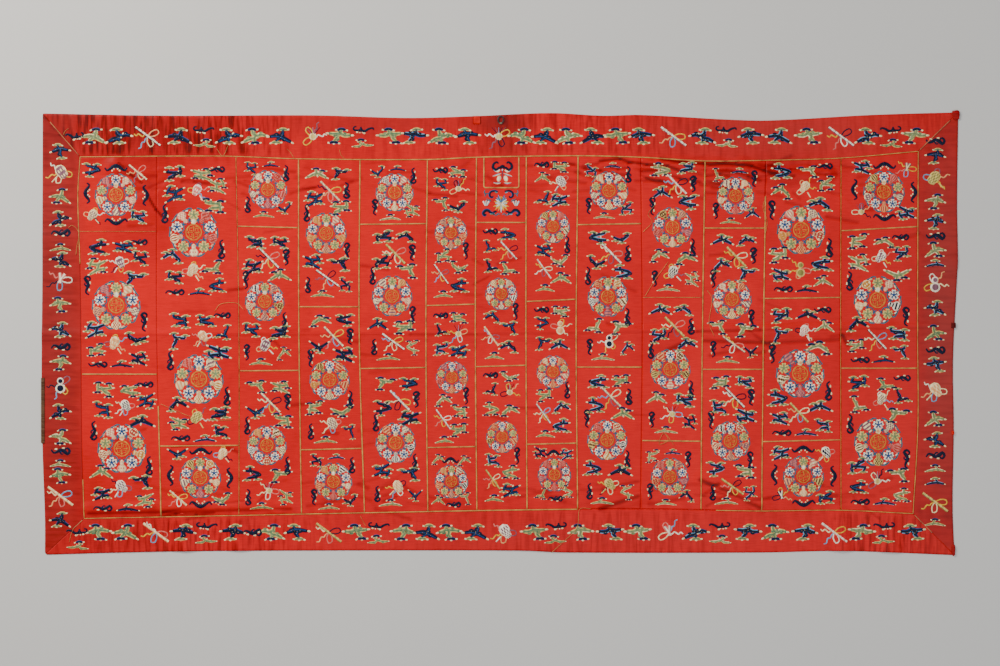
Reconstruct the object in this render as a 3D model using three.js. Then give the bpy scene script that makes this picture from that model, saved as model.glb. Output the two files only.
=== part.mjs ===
// A patchwork mantle of red silk satin, laid flat and face up. A pieced field of thirteen columns of
// patches is framed by four border strips with mitred corners. Gold tape covers the frame seam and most
// seams between the patches, and a thin gold cord covers each mitre. Small fastenings sit on the edges.
//
// Millimetres. +X runs along the long side, +Y towards the top edge and +Z up. The origin is under the
// middle of the mantle, on the surface that it lies on.

import * as THREE from 'three';
import { mergeVertices } from 'three/addons/utils/BufferGeometryUtils.js';

// Driving dimensions.
const CLOTH_THICKNESS = 2; // satin, its embroidery and the turned seams behind it
const PIECE_GAP = 0.3; // air between two neighbouring pieces
const TAPE_WIDTH = 3.6; // woven gold tape over the seams
const TAPE_THICKNESS = 1.2;
const MITRE_CORD_WIDTH = 2.4; // thinner cord over the corner mitres
const HALF_LENGTH = 1226; // the mantle's reach to either side, fastenings included
const HALF_HEIGHT = 595; // its reach up and down

// The cloth's own edges. The sides are read by y, the top and bottom by x.
const OUTER_TOP = [
  { x: -1222, y: 586 }, { x: -896, y: 580 }, { x: -509, y: 581 }, { x: -244, y: 574 },
  { x: -65, y: 579 }, { x: 132, y: 587 }, { x: 274, y: 580 }, { x: 375, y: 582 },
  { x: 618, y: 569 }, { x: 717, y: 567 }, { x: 992, y: 582 }, { x: 1222, y: 589 },
];
const OUTER_BOTTOM = [
  { x: -1216, y: -592 }, { x: -917, y: -584 }, { x: -589, y: -581 }, { x: 52, y: -581 },
  { x: 175, y: -586 }, { x: 693, y: -586 }, { x: 914, y: -582 }, { x: 1212, y: -593 },
];
const OUTER_LEFT = [
  { y: -592, x: -1216 }, { y: -494, x: -1216 }, { y: -323, x: -1222 }, { y: -128, x: -1225 },
  { y: 147, x: -1223 }, { y: 586, x: -1222 },
];
const OUTER_RIGHT = [
  { y: -593, x: 1212 }, { y: -465, x: 1207 }, { y: -254, x: 1210 }, { y: -77, x: 1208 },
  { y: 117, x: 1217 }, { y: 198, x: 1221 }, { y: 347, x: 1219 }, { y: 589, x: 1222 },
];

// The seam between the field and its border.
const FRAME_TOP = [
  { x: -1122, y: 470 }, { x: -741, y: 472 }, { x: -541, y: 465 }, { x: -195, y: 463 },
  { x: -65, y: 469 }, { x: 204, y: 473 }, { x: 375, y: 469 }, { x: 546, y: 459 },
  { x: 717, y: 461 }, { x: 909, y: 467 }, { x: 1115, y: 485 },
];
const FRAME_BOTTOM = [
  { x: -1111, y: -495 }, { x: -698, y: -487 }, { x: -364, y: -480 }, { x: 71, y: -472 },
  { x: 375, y: -470 }, { x: 698, y: -475 }, { x: 906, y: -473 }, { x: 1101, y: -482 },
];
const FRAME_LEFT = [
  { y: -495, x: -1111 }, { y: -302, x: -1117 }, { y: 147, x: -1121 }, { y: 366, x: -1128 },
  { y: 470, x: -1122 },
];
const FRAME_RIGHT = [
  { y: -482, x: 1101 }, { y: -246, x: 1114 }, { y: 24, x: 1113 }, { y: 485, x: 1115 },
];

// The seam on the right of each column of patches but the last: its x at the top, middle and bottom,
// and how far down from the top its tape has come off (1 is all the way).
const SEAMS = [
  { top: -917, middle: -917, bottom: -906, bare: 0.7 },
  { top: -706, middle: -698, bottom: -698, bare: 0 },
  { top: -539, middle: -538, bottom: -531, bare: 0 },
  { top: -375, middle: -377, bottom: -363, bare: 0 },
  { top: -195, middle: -199, bottom: -194, bare: 0 },
  { top: -64, middle: -67, bottom: -63, bare: 0 },
  { top: 69, middle: 68, bottom: 71, bare: 0 },
  { top: 207, middle: 202, bottom: 206, bare: 0 },
  { top: 375, middle: 379, bottom: 374, bare: 1 },
  { top: 546, middle: 539, bottom: 535, bare: 0 },
  { top: 709, middle: 702, bottom: 697, bare: 0.11 },
  { top: 909, middle: 908, bottom: 909, bare: 0 },
];

// The two cross seams of each column of patches, high and low, as y at the left and right end, and the
// number of grid cells across the column. Odd columns have the short patch at the top, even ones below.
const COLUMNS = [
  { highLeft: 271, highRight: 271, lowLeft: -110, lowRight: -110, cells: 3, taped: ['high', 'low'] },
  { highLeft: 79, highRight: 79, lowLeft: -302, lowRight: -300, cells: 3, taped: ['low'] },
  { highLeft: 285, highRight: 281, lowLeft: -101, lowRight: -100, cells: 3, taped: ['high', 'low'] },
  { highLeft: 70, highRight: 70, lowLeft: -312, lowRight: -308, cells: 3, taped: ['high', 'low'] },
  { highLeft: 290, highRight: 292, lowLeft: -95, lowRight: -92, cells: 3, taped: ['high', 'low'] },
  { highLeft: 73, highRight: 77, lowLeft: -306, lowRight: -303, cells: 2, taped: ['high', 'low'] },
  { highLeft: 295, highRight: 295, lowLeft: -90, lowRight: -86, cells: 2, taped: ['high', 'low'] },
  { highLeft: 84, highRight: 90, lowLeft: -297, lowRight: -294, cells: 2, taped: ['high', 'low'] },
  { highLeft: 289, highRight: 292, lowLeft: -91, lowRight: -91, cells: 3, taped: ['high', 'low'] },
  { highLeft: 95, highRight: 95, lowLeft: -287, lowRight: -289, cells: 3, taped: ['high', 'low'] },
  { highLeft: 280, highRight: 280, lowLeft: -97, lowRight: -97, cells: 3, taped: ['high', 'low'] },
  { highLeft: 92, highRight: 95, lowLeft: -290, lowRight: -285, cells: 3, taped: ['high', 'low'] },
  { highLeft: 273, highRight: 284, lowLeft: -94, lowRight: -94, cells: 3, taped: ['high', 'low'] },
];

// The stretches that have lost the frame tape: on the bottom seam by x, and on the left seam by y.
const BARE_BOTTOM = { from: 206, to: 575 };
const BARE_LEFT = { from: -391, to: 184 };

// The storage crease, which runs the whole length a little below the middle.
const CREASE = [
  { x: -1226, y: -8 }, { x: 0, y: -3 }, { x: 1226, y: 14 },
];

// Soft ridges of the cloth, each from one point to another, with its height and half width.
const FOLDS = [
  { x1: -1222, y1: -8, x2: 0, y2: -3, rise: 2.6, reach: 26 }, // storage crease, left half
  { x1: 0, y1: -3, x2: 1150, y2: 13, rise: 3.2, reach: 26 }, // storage crease, right half
  { x1: 372, y1: 452, x2: 640, y2: 446, rise: 5, reach: 26 }, // ruck under the top border
  { x1: 640, y1: 446, x2: 740, y2: 416, rise: 7.5, reach: 34 }, // its steepest part
  { x1: 740, y1: 416, x2: 870, y2: 424, rise: 7, reach: 34 },
  { x1: -1030, y1: 446, x2: -960, y2: 400, rise: 5, reach: 38 }, // creases in the first column
  { x1: -945, y1: 366, x2: -895, y2: 300, rise: 4, reach: 38 },
  { x1: -1105, y1: -470, x2: -560, y2: -462, rise: 3.6, reach: 24 }, // ruck over the bottom border
  { x1: 266, y1: -450, x2: 380, y2: -436, rise: 4, reach: 30 },
  { x1: 540, y1: -392, x2: 690, y2: -452, rise: 4.5, reach: 40 },
  { x1: -1053, y1: 500, x2: -1053, y2: 574, rise: 1.8, reach: 44 }, // puckers of the border strips
  { x1: -917, y1: 500, x2: -917, y2: 570, rise: 1.9, reach: 44 },
  { x1: -776, y1: 500, x2: -776, y2: 570, rise: 1.8, reach: 44 },
  { x1: -841, y1: -572, x2: -841, y2: -508, rise: 4, reach: 44 },
  { x1: -698, y1: -570, x2: -698, y2: -506, rise: 3.5, reach: 44 },
  { x1: 909, y1: -574, x2: 909, y2: -500, rise: 4.5, reach: 44 },
  { x1: 1040, y1: -576, x2: 1040, y2: -500, rise: 4, reach: 44 },
  { x1: 625, y1: 480, x2: 625, y2: 560, rise: 1.6, reach: 44 },
  { x1: -1205, y1: 250, x2: -1135, y2: 250, rise: 2.5, reach: 44 },
  { x1: 1135, y1: 190, x2: 1200, y2: 190, rise: 3, reach: 44 },
];

// Where the cloth lies quite flat: under the fastenings, in the corners and by the middle of the back.
// Each reaches this far to both sides, and the swells come back over as much again.
const FLAT_PLACES = [
  { x: 0, y: 480, reachX: 130, reachY: 130 },
  { x: 0, y: -200, reachX: 130, reachY: 140 },
  { x: -1180, y: 540, reachX: 90, reachY: 90 },
  { x: 1190, y: 550, reachX: 90, reachY: 90 },
  { x: -1180, y: -545, reachX: 90, reachY: 90 },
  { x: 1180, y: -550, reachX: 90, reachY: 90 },
  { x: -1220, y: -205, reachX: 70, reachY: 130 },
  { x: 1210, y: 20, reachX: 50, reachY: 50 },
  { x: 1210, y: -266, reachX: 50, reachY: 50 },
];

const SATIN = new THREE.MeshStandardMaterial({ color: 0xc8372c, roughness: 0.45, metalness: 0 });
const BORDER_SATIN = new THREE.MeshStandardMaterial({ color: 0xb0302e, roughness: 0.45, metalness: 0 });
const GOLD_TAPE = new THREE.MeshStandardMaterial({ color: 0xc8964e, roughness: 0.55, metalness: 0.2 });
const TAB_SILK = new THREE.MeshStandardMaterial({ color: 0xd83a28, roughness: 0.5, metalness: 0 });
const DARK_CORD = new THREE.MeshStandardMaterial({ color: 0x3a201c, roughness: 0.6, metalness: 0 });
const OLD_TAPE = new THREE.MeshStandardMaterial({ color: 0x6a4a34, roughness: 0.8, metalness: 0 });

// A smooth line through a table's points: cubic, with the slope at a point taken from its neighbours.
function follow(table, readBy, gives, at) {
  const last = table.length - 1;
  const place = Math.min(Math.max(at, table[0][readBy]), table[last][readBy]);
  let k = 0;
  while (k < last - 1 && place > table[k + 1][readBy]) {
    k += 1;
  }
  const slopeAt = (i) => {
    const before = table[Math.max(i - 1, 0)];
    const after = table[Math.min(i + 1, last)];
    return (after[gives] - before[gives]) / (after[readBy] - before[readBy]);
  };
  const span = table[k + 1][readBy] - table[k][readBy];
  const t = (place - table[k][readBy]) / span;
  const ease = t * t * (3 - 2 * t);
  const leaving = t * (1 - t) * (1 - t) * span * slopeAt(k);
  const arriving = t * t * (t - 1) * span * slopeAt(k + 1);
  return table[k][gives] * (1 - ease) + table[k + 1][gives] * ease + leaving + arriving;
}

const frameTop = (x) => follow(FRAME_TOP, 'x', 'y', x);
const frameBottom = (x) => follow(FRAME_BOTTOM, 'x', 'y', x);
const frameLeft = (y) => follow(FRAME_LEFT, 'y', 'x', y);
const frameRight = (y) => follow(FRAME_RIGHT, 'y', 'x', y);
const outerTop = (x) => follow(OUTER_TOP, 'x', 'y', x);
const outerBottom = (x) => follow(OUTER_BOTTOM, 'x', 'y', x);
const outerLeft = (y) => follow(OUTER_LEFT, 'y', 'x', y);
const outerRight = (y) => follow(OUTER_RIGHT, 'y', 'x', y);

const SEAM_TOP_Y = 470;
const SEAM_BOTTOM_Y = -480;

function seamX(seam, y) {
  const table = [
    { y: SEAM_BOTTOM_Y, x: seam.bottom }, { y: 0, x: seam.middle }, { y: SEAM_TOP_Y, x: seam.top },
  ];
  return follow(table, 'y', 'x', y);
}

// A cross seam's line over the whole field. It is sewn in every second column and passes between.
function crossLine(firstColumn, level) {
  const table = [];
  for (let k = firstColumn; k < COLUMNS.length; k += 2) {
    const leftX = k === 0 ? frameLeft(0) : SEAMS[k - 1].middle;
    const rightX = k === SEAMS.length ? frameRight(0) : SEAMS[k].middle;
    table.push({ x: leftX, y: COLUMNS[k][`${level}Left`] });
    table.push({ x: rightX, y: COLUMNS[k][`${level}Right`] });
  }
  return (x) => follow(table, 'x', 'y', x);
}

// One where a point is in the middle of its reach, falling smoothly to nothing at its rim.
function softBump(distance) {
  return distance < 1 ? (1 - distance * distance) ** 2 : 0;
}

// Broad low swells of cloth that has been unfolded and doesn't lie quite flat.
const SWELL_RISE = 1.7;
const SWELL_SUNK = 0.5; // the part of the swells that the surface below presses flat

function swell(x, y) {
  const broad = Math.sin(x / 190 + 1.3) * Math.sin(y / 140 + 0.4);
  const slant = 0.6 * Math.sin(x / 83 + y / 97);
  let still = 1;
  for (const place of FLAT_PLACES) {
    const distance = Math.hypot((x - place.x) / place.reachX, (y - place.y) / place.reachY);
    still *= THREE.MathUtils.smoothstep(distance, 1, 2);
  }
  return Math.max(0, SWELL_RISE * (broad + slant - SWELL_SUNK)) * still;
}

function foldRise(fold, x, y) {
  const along = new THREE.Vector2(fold.x2 - fold.x1, fold.y2 - fold.y1);
  const from = new THREE.Vector2(x - fold.x1, y - fold.y1);
  const share = THREE.MathUtils.clamp(from.dot(along) / along.lengthSq(), 0, 1);
  return fold.rise * softBump(from.addScaledVector(along, -share).length() / fold.reach);
}

// How high the cloth's underside is above the surface that it lies on.
function restHeight(x, y) {
  const ridges = FOLDS.map((fold) => foldRise(fold, x, y));
  return Math.max(swell(x, y), ...ridges);
}

// Grid lines follow the seams. A line lies at a share of the way from one seam to the next, or beside
// a seam by a shift. A shifted line takes its seam's own height, so the cloth is level under a tape.
const HALF_TAPE = TAPE_WIDTH / 2;
const HALF_GAP = PIECE_GAP / 2;

function gridLines(marks, shares) {
  const lines = [];
  marks.forEach((mark, k) => {
    for (const shift of mark.shifts) {
      lines.push({ place: mark.place, shift, mark: mark.name });
    }
    for (const share of shares[k] ?? []) {
      const next = marks[k + 1].place;
      lines.push({ place: (at) => THREE.MathUtils.lerp(mark.place(at), next(at), share), shift: 0 });
    }
  });
  return lines;
}

const BAND = [-HALF_TAPE, HALF_TAPE];
const columnMarks = [
  { name: 'frame', place: frameLeft, shifts: [HALF_GAP, HALF_TAPE] },
  ...SEAMS.map((seam, k) => ({ name: `seam ${k + 1}`, place: (y) => seamX(seam, y), shifts: BAND })),
  { name: 'frame', place: frameRight, shifts: [-HALF_TAPE, -HALF_GAP] },
];
const columnShares = COLUMNS.map(({ cells }) => Array.from({ length: cells - 1 }, (_, i) => (i + 1) / cells));
const rowMarks = [
  { name: 'frame', place: frameBottom, shifts: [HALF_GAP, HALF_TAPE] },
  { name: 'even low', place: crossLine(1, 'low'), shifts: BAND },
  { name: 'odd low', place: crossLine(0, 'low'), shifts: BAND },
  { name: 'crease', place: (x) => follow(CREASE, 'x', 'y', x), shifts: [0] },
  { name: 'even high', place: crossLine(1, 'high'), shifts: BAND },
  { name: 'odd high', place: crossLine(0, 'high'), shifts: BAND },
  { name: 'frame', place: frameTop, shifts: [-HALF_TAPE, -HALF_GAP] },
];
// Closer rows lie beside the rucks under the border and beside the storage crease.
const rowShares = [
  [0.12, 0.3, 0.6],
  [0.5],
  [0.7],
  [0.3],
  [0.5],
  [0.4, 0.7, 0.9],
];
const columnLines = gridLines(columnMarks, columnShares);
const rowLines = gridLines(rowMarks, rowShares);

// The point where two lines cross, found by stepping from one to the other.
const CROSSING_STEPS = 4;

function crossing(column, row) {
  let x = column.place(0);
  let y = row.place(x);
  for (let step = 0; step < CROSSING_STEPS; step += 1) {
    x = column.place(y);
    y = row.place(x);
  }
  return new THREE.Vector3(x + column.shift, y + row.shift, restHeight(x, y));
}

// A closed sheet over a net of points on its underside. The net's first index runs along and its
// second to the left of that, seen from above.
function sheetGeometry(net, thickness) {
  const along = net.length;
  const across = net[0].length;
  const positions = [];
  for (const lift of [0, thickness]) {
    for (const point of net.flat()) {
      positions.push(point.x, point.y, point.z + lift);
    }
  }
  const low = (i, j) => i * across + j;
  const high = (i, j) => along * across + low(i, j);
  const index = [];
  const quad = (a, b, c, d) => index.push(a, b, c, a, c, d);
  for (let i = 0; i < along - 1; i += 1) {
    for (let j = 0; j < across - 1; j += 1) {
      quad(high(i, j), high(i + 1, j), high(i + 1, j + 1), high(i, j + 1));
      quad(low(i, j + 1), low(i + 1, j + 1), low(i + 1, j), low(i, j));
    }
    quad(low(i, 0), low(i + 1, 0), high(i + 1, 0), high(i, 0));
    quad(low(i + 1, across - 1), low(i, across - 1), high(i, across - 1), high(i + 1, across - 1));
  }
  for (let j = 0; j < across - 1; j += 1) {
    quad(low(0, j + 1), low(0, j), high(0, j), high(0, j + 1));
    quad(low(along - 1, j), low(along - 1, j + 1), high(along - 1, j + 1), high(along - 1, j));
  }
  const geometry = new THREE.BufferGeometry();
  geometry.setAttribute('position', new THREE.Float32BufferAttribute(positions, 3));
  geometry.setIndex(index);
  return geometry;
}

const mantle = new THREE.Group();

function addPiece(name, geometry, material) {
  const mesh = new THREE.Mesh(geometry, material);
  mesh.name = name;
  mantle.add(mesh);
}

// The field: one pieced cloth inside the frame seam.
const fieldNet = columnLines.map((column) => rowLines.map((row) => crossing(column, row)));
addPiece('field', sheetGeometry(fieldNet, CLOTH_THICKNESS), SATIN);

// A corner mitre runs from the frame's corner to the cloth's. A point on it is given by its distance
// from the frame corner, and by its offset to the side of the top or bottom strip.
const mitre = (frameX, frameY, outerX, outerY) => {
  const frame = new THREE.Vector2(frameX, frameY);
  const line = new THREE.Vector2(outerX, outerY).sub(frame);
  const run = line.clone().normalize();
  const side = new THREE.Vector2(-Math.sign(run.x) * Math.abs(run.y), Math.sign(run.y) * Math.abs(run.x));
  const length = line.length();
  const at = (distance, offset) => frame.clone().addScaledVector(run, distance).addScaledVector(side, offset);
  return { frame, run, length, at };
};
const cornerOf = (table, isLast) => (isLast ? table[table.length - 1] : table[0]);
const MITRES = [
  { name: 'top_left', frame: cornerOf(FRAME_TOP, false), outer: cornerOf(OUTER_TOP, false) },
  { name: 'top_right', frame: cornerOf(FRAME_TOP, true), outer: cornerOf(OUTER_TOP, true) },
  { name: 'bottom_left', frame: cornerOf(FRAME_BOTTOM, false), outer: cornerOf(OUTER_BOTTOM, false) },
  { name: 'bottom_right', frame: cornerOf(FRAME_BOTTOM, true), outer: cornerOf(OUTER_BOTTOM, true) },
].map(({ name, frame, outer }) => ({ name, ...mitre(frame.x, frame.y, outer.x, outer.y) }));

// A strip's end on a mitre. The first two points lie beside the frame seam and take its height.
function mitreEnd(corner, offset, acrossRun) {
  const distances = [HALF_GAP / acrossRun, HALF_TAPE / acrossRun, corner.length / 2, corner.length];
  return distances.map((distance, j) => {
    const point = corner.at(distance, offset);
    const source = j < 2 ? corner.frame : point;
    return new THREE.Vector3(point.x, point.y, restHeight(source.x, source.y));
  });
}

// The lines of a strip lie beside the frame seam, half way over and at the cloth's edge.
function stripPoint(isSide, at, seam, edge) {
  const outward = Math.sign(edge - seam);
  const half = (seam + edge) / 2;
  const places = [seam + outward * HALF_GAP, seam + outward * HALF_TAPE, half, edge];
  return places.map((place, j) => {
    const source = j < 2 ? seam : place;
    const height = isSide ? restHeight(source, at) : restHeight(at, source);
    return isSide ? new THREE.Vector3(place, at, height) : new THREE.Vector3(at, place, height);
  });
}

// The top and bottom strips share the field's column lines, and the side strips its row lines.
const innerColumns = fieldNet.slice(2, -2);
const topLines = innerColumns.map((line) => line[line.length - 2].x);
const bottomLines = innerColumns.map((line) => line[1].x);
const leftLines = fieldNet[1].slice(2, -2).map((point) => point.y);
const rightLines = fieldNet[fieldNet.length - 2].slice(2, -2).map((point) => point.y);
const [topLeft, topRight, bottomLeft, bottomRight] = MITRES;

const topNet = [
  mitreEnd(topLeft, HALF_GAP, Math.abs(topLeft.run.y)),
  ...topLines.map((x) => stripPoint(false, x, frameTop(x), outerTop(x))),
  mitreEnd(topRight, HALF_GAP, Math.abs(topRight.run.y)),
];
const bottomNet = [
  mitreEnd(bottomLeft, HALF_GAP, Math.abs(bottomLeft.run.y)),
  ...bottomLines.map((x) => stripPoint(false, x, frameBottom(x), outerBottom(x))),
  mitreEnd(bottomRight, HALF_GAP, Math.abs(bottomRight.run.y)),
];
const leftNet = [
  mitreEnd(bottomLeft, -HALF_GAP, Math.abs(bottomLeft.run.x)),
  ...leftLines.map((y) => stripPoint(true, y, frameLeft(y), outerLeft(y))),
  mitreEnd(topLeft, -HALF_GAP, Math.abs(topLeft.run.x)),
];
const rightNet = [
  mitreEnd(bottomRight, -HALF_GAP, Math.abs(bottomRight.run.x)),
  ...rightLines.map((y) => stripPoint(true, y, frameRight(y), outerRight(y))),
  mitreEnd(topRight, -HALF_GAP, Math.abs(topRight.run.x)),
];
const turned = (net) => net.map((line) => [...line].reverse());
addPiece('border_top', sheetGeometry(topNet, CLOTH_THICKNESS), BORDER_SATIN);
addPiece('border_bottom', sheetGeometry(turned(bottomNet), CLOTH_THICKNESS), BORDER_SATIN);
addPiece('border_left', sheetGeometry(leftNet, CLOTH_THICKNESS), BORDER_SATIN);
addPiece('border_right', sheetGeometry(turned(rightNet), CLOTH_THICKNESS), BORDER_SATIN);

// Tapes lie a gap above the cloth's upper face.
const TAPE_SEAT = CLOTH_THICKNESS + PIECE_GAP;

const lifted = (point, lift) => new THREE.Vector3(point.x, point.y, point.z + lift);

function addTape(name, net) {
  const raised = net.map((line) => line.map((point) => lifted(point, TAPE_SEAT)));
  addPiece(name, sheetGeometry(raised, TAPE_THICKNESS), GOLD_TAPE);
}

// The frame tape goes round the field over its seam, anticlockwise, each pair of points from its outer
// to its inner edge. Two stretches are left of it, one long and one round the lower left corner.
function ringCorner(corner, inner) {
  const out = new THREE.Vector3(
    corner.frame.x + Math.sign(corner.run.x) * HALF_TAPE,
    corner.frame.y + Math.sign(corner.run.y) * HALF_TAPE,
    restHeight(corner.frame.x, corner.frame.y),
  );
  return [out, inner];
}

const lastColumn = fieldNet.length - 1;
const lastRow = rowLines.length - 1;
const bottomTape = bottomLines.map((_, i) => [bottomNet[i + 1][1], fieldNet[i + 2][1]]);
const leftTape = leftLines.map((_, j) => [leftNet[j + 1][1], fieldNet[1][j + 2]]);

// The pair of points at a place between two of a side's pairs.
function cutTape(pairs, axis, place) {
  const k = pairs.findIndex(([outer]) => outer[axis] > place);
  const [before, after] = [pairs[k - 1], pairs[k]];
  const share = (place - before[0][axis]) / (after[0][axis] - before[0][axis]);
  return before.map((point, side) => point.clone().lerp(after[side], share));
}

addTape('tape_frame_long', [
  cutTape(bottomTape, 'x', BARE_BOTTOM.to),
  ...bottomTape.filter(([outer]) => outer.x > BARE_BOTTOM.to),
  ringCorner(bottomRight, fieldNet[lastColumn - 1][1]),
  ...rightLines.map((_, j) => [rightNet[j + 1][1], fieldNet[lastColumn - 1][j + 2]]),
  ringCorner(topRight, fieldNet[lastColumn - 1][lastRow - 1]),
  ...topLines.map((_, i) => [topNet[i + 1][1], fieldNet[i + 2][lastRow - 1]]).reverse(),
  ringCorner(topLeft, fieldNet[1][lastRow - 1]),
  ...leftTape.filter(([outer]) => outer.y > BARE_LEFT.to).reverse(),
  cutTape(leftTape, 'y', BARE_LEFT.to),
]);
addTape('tape_frame_corner', [
  cutTape(leftTape, 'y', BARE_LEFT.from),
  ...leftTape.filter(([outer]) => outer.y < BARE_LEFT.from).reverse(),
  ringCorner(bottomLeft, fieldNet[1][1]),
  ...bottomTape.filter(([outer]) => outer.x < BARE_BOTTOM.from),
  cutTape(bottomTape, 'x', BARE_BOTTOM.from),
]);

// A seam tape runs up its column of patches between the frame tapes.
const twoDigits = (number) => String(number).padStart(2, '0');

SEAMS.forEach((seam, k) => {
  if (seam.bare === 1) {
    return;
  }
  const left = columnLines.findIndex((line) => line.mark === `seam ${k + 1}`);
  const topY = SEAM_TOP_Y - seam.bare * (SEAM_TOP_Y - SEAM_BOTTOM_Y);
  const net = [];
  for (let j = 1; j < lastRow; j += 1) {
    if (fieldNet[left][j].y > topY && seam.bare > 0) {
      break;
    }
    const trim = j === 1 ? PIECE_GAP : j === lastRow - 1 ? -PIECE_GAP : 0;
    const pair = [fieldNet[left + 1][j], fieldNet[left][j]];
    net.push(pair.map((point) => new THREE.Vector3(point.x, point.y + trim, point.z)));
  }
  addTape(`tape_seam_${twoDigits(k + 1)}`, net);
});

// A cross tape spans its column between the seam tapes on either side.
COLUMNS.forEach((column, k) => {
  const parity = k % 2 === 0 ? 'odd' : 'even';
  const leftName = k === 0 ? 'frame' : `seam ${k}`;
  const from = columnLines.findIndex((line) => line.mark === leftName) + 1;
  const to = from + column.cells;
  for (const level of column.taped) {
    const low = rowLines.findIndex((line) => line.mark === `${parity} ${level}`);
    const net = [];
    for (let i = from; i <= to; i += 1) {
      const trim = i === from ? PIECE_GAP : i === to ? -PIECE_GAP : 0;
      const pair = [fieldNet[i][low], fieldNet[i][low + 1]];
      net.push(pair.map((point) => new THREE.Vector3(point.x + trim, point.y, point.z)));
    }
    addTape(`tape_cross_${twoDigits(k + 1)}_${level}`, net);
  }
});

// A thin cord covers each mitre from the frame tape to near the cloth's corner. The two lower ones have
// come away, and only this much of them is left, from the frame corner.
const MITRE_CORD_END = 30; // how far it stops short of the corner and of the tabs there
const MITRE_CORD_LEFT = { bottom_left: 42, bottom_right: 72 };

for (const corner of MITRES) {
  const start = HALF_TAPE / Math.min(Math.abs(corner.run.x), Math.abs(corner.run.y)) + MITRE_CORD_WIDTH;
  const half = corner.length / 2;
  const end = Math.min(corner.length - MITRE_CORD_END, MITRE_CORD_LEFT[corner.name] ?? corner.length);
  const stations = end > half ? [start, half, end] : [start, end];
  const leftward = Math.sign(corner.run.x) * Math.sign(corner.run.y) > 0 ? 1 : -1;
  const heightOf = (distance) => restHeight(corner.at(distance, 0).x, corner.at(distance, 0).y);
  const net = stations.map((distance) => {
    // The cloth is straight from the frame to the middle of its mitre.
    const share = (distance - start) / (half - start);
    const height = share < 1 ? THREE.MathUtils.lerp(heightOf(start), heightOf(half), share) : heightOf(distance);
    return [-leftward, leftward].map((side) => {
      const point = corner.at(distance, side * MITRE_CORD_WIDTH / 2);
      return new THREE.Vector3(point.x, point.y, height);
    });
  });
  addTape(`cord_mitre_${corner.name}`, net);
}

// A small square of the same tape hangs from the frame in the middle column. The cloth is flat there.
const INSET = { left: -46, right: 51, bottom: 386, corner: 7 };

function insetOutline(inward) {
  const left = INSET.left + inward;
  const right = INSET.right - inward;
  const bottom = INSET.bottom + inward;
  const radius = INSET.corner - inward;
  const top = Math.min(frameTop(left), frameTop(right)) - HALF_TAPE - PIECE_GAP;
  return { left, right, bottom, radius, top };
}

const insetOuter = insetOutline(0);
const insetInner = insetOutline(TAPE_WIDTH);
const insetShape = new THREE.Shape();
insetShape.moveTo(insetOuter.left, insetOuter.top);
insetShape.lineTo(insetOuter.left, insetOuter.bottom + insetOuter.radius);
insetShape.absarc(
  insetOuter.left + insetOuter.radius, insetOuter.bottom + insetOuter.radius,
  insetOuter.radius, Math.PI, Math.PI * 1.5, false,
);
insetShape.lineTo(insetOuter.right - insetOuter.radius, insetOuter.bottom);
insetShape.absarc(
  insetOuter.right - insetOuter.radius, insetOuter.bottom + insetOuter.radius,
  insetOuter.radius, Math.PI * 1.5, 0, false,
);
insetShape.lineTo(insetOuter.right, insetOuter.top);
insetShape.lineTo(insetInner.right, insetOuter.top);
insetShape.lineTo(insetInner.right, insetInner.bottom + insetInner.radius);
insetShape.absarc(
  insetInner.right - insetInner.radius, insetInner.bottom + insetInner.radius,
  insetInner.radius, 0, Math.PI * 1.5, true,
);
insetShape.lineTo(insetInner.left + insetInner.radius, insetInner.bottom);
insetShape.absarc(
  insetInner.left + insetInner.radius, insetInner.bottom + insetInner.radius,
  insetInner.radius, Math.PI * 1.5, Math.PI, true,
);
insetShape.lineTo(insetInner.left, insetOuter.top);
insetShape.closePath();

// Only the positions of a stock geometry are kept, with its shared corners merged.
function closedGeometry(geometry) {
  geometry.deleteAttribute('normal');
  geometry.deleteAttribute('uv');
  return mergeVertices(geometry);
}

const INSET_CURVE_STEPS = 5;
const insetGeometry = new THREE.ExtrudeGeometry(
  insetShape, { depth: TAPE_THICKNESS, bevelEnabled: false, curveSegments: INSET_CURVE_STEPS },
);
insetGeometry.translate(0, 0, TAPE_SEAT);
addPiece('tape_inset', closedGeometry(insetGeometry), GOLD_TAPE);

// The folded silk tab at the top edge: a strip doubled over, with its fold at the edge of the cloth.
const TOP_TAB = { x: -64, foldY: 579, width: 18, length: 22, leaf: 1.1, slot: 0.9, setBack: 3 };
const tabHeight = 2 * TOP_TAB.leaf + TOP_TAB.slot;
const tabBend = tabHeight / 2;
const tabProfile = new THREE.Shape();
tabProfile.moveTo(-TOP_TAB.length, 0);
tabProfile.lineTo(-tabBend, 0);
tabProfile.absarc(-tabBend, tabBend, tabBend, -Math.PI / 2, Math.PI / 2, false);
tabProfile.lineTo(-TOP_TAB.length + TOP_TAB.setBack, tabHeight);
tabProfile.lineTo(-TOP_TAB.length + TOP_TAB.setBack, tabHeight - TOP_TAB.leaf);
tabProfile.absarc(-tabBend, tabBend, TOP_TAB.slot / 2, Math.PI / 2, -Math.PI / 2, true);
tabProfile.lineTo(-TOP_TAB.length, TOP_TAB.leaf);
tabProfile.closePath();
const tabGeometry = new THREE.ExtrudeGeometry(
  tabProfile, { depth: TOP_TAB.width, bevelEnabled: false, curveSegments: 8 },
);
// The profile is drawn in the plane of Y and Z and extruded along X.
tabGeometry.applyMatrix4(new THREE.Matrix4().makeBasis(
  new THREE.Vector3(0, 1, 0), new THREE.Vector3(0, 0, 1), new THREE.Vector3(1, 0, 0),
));
tabGeometry.translate(TOP_TAB.x - TOP_TAB.width / 2, TOP_TAB.foldY, TAPE_SEAT);
addPiece('tab_top', closedGeometry(tabGeometry), TAB_SILK);

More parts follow.
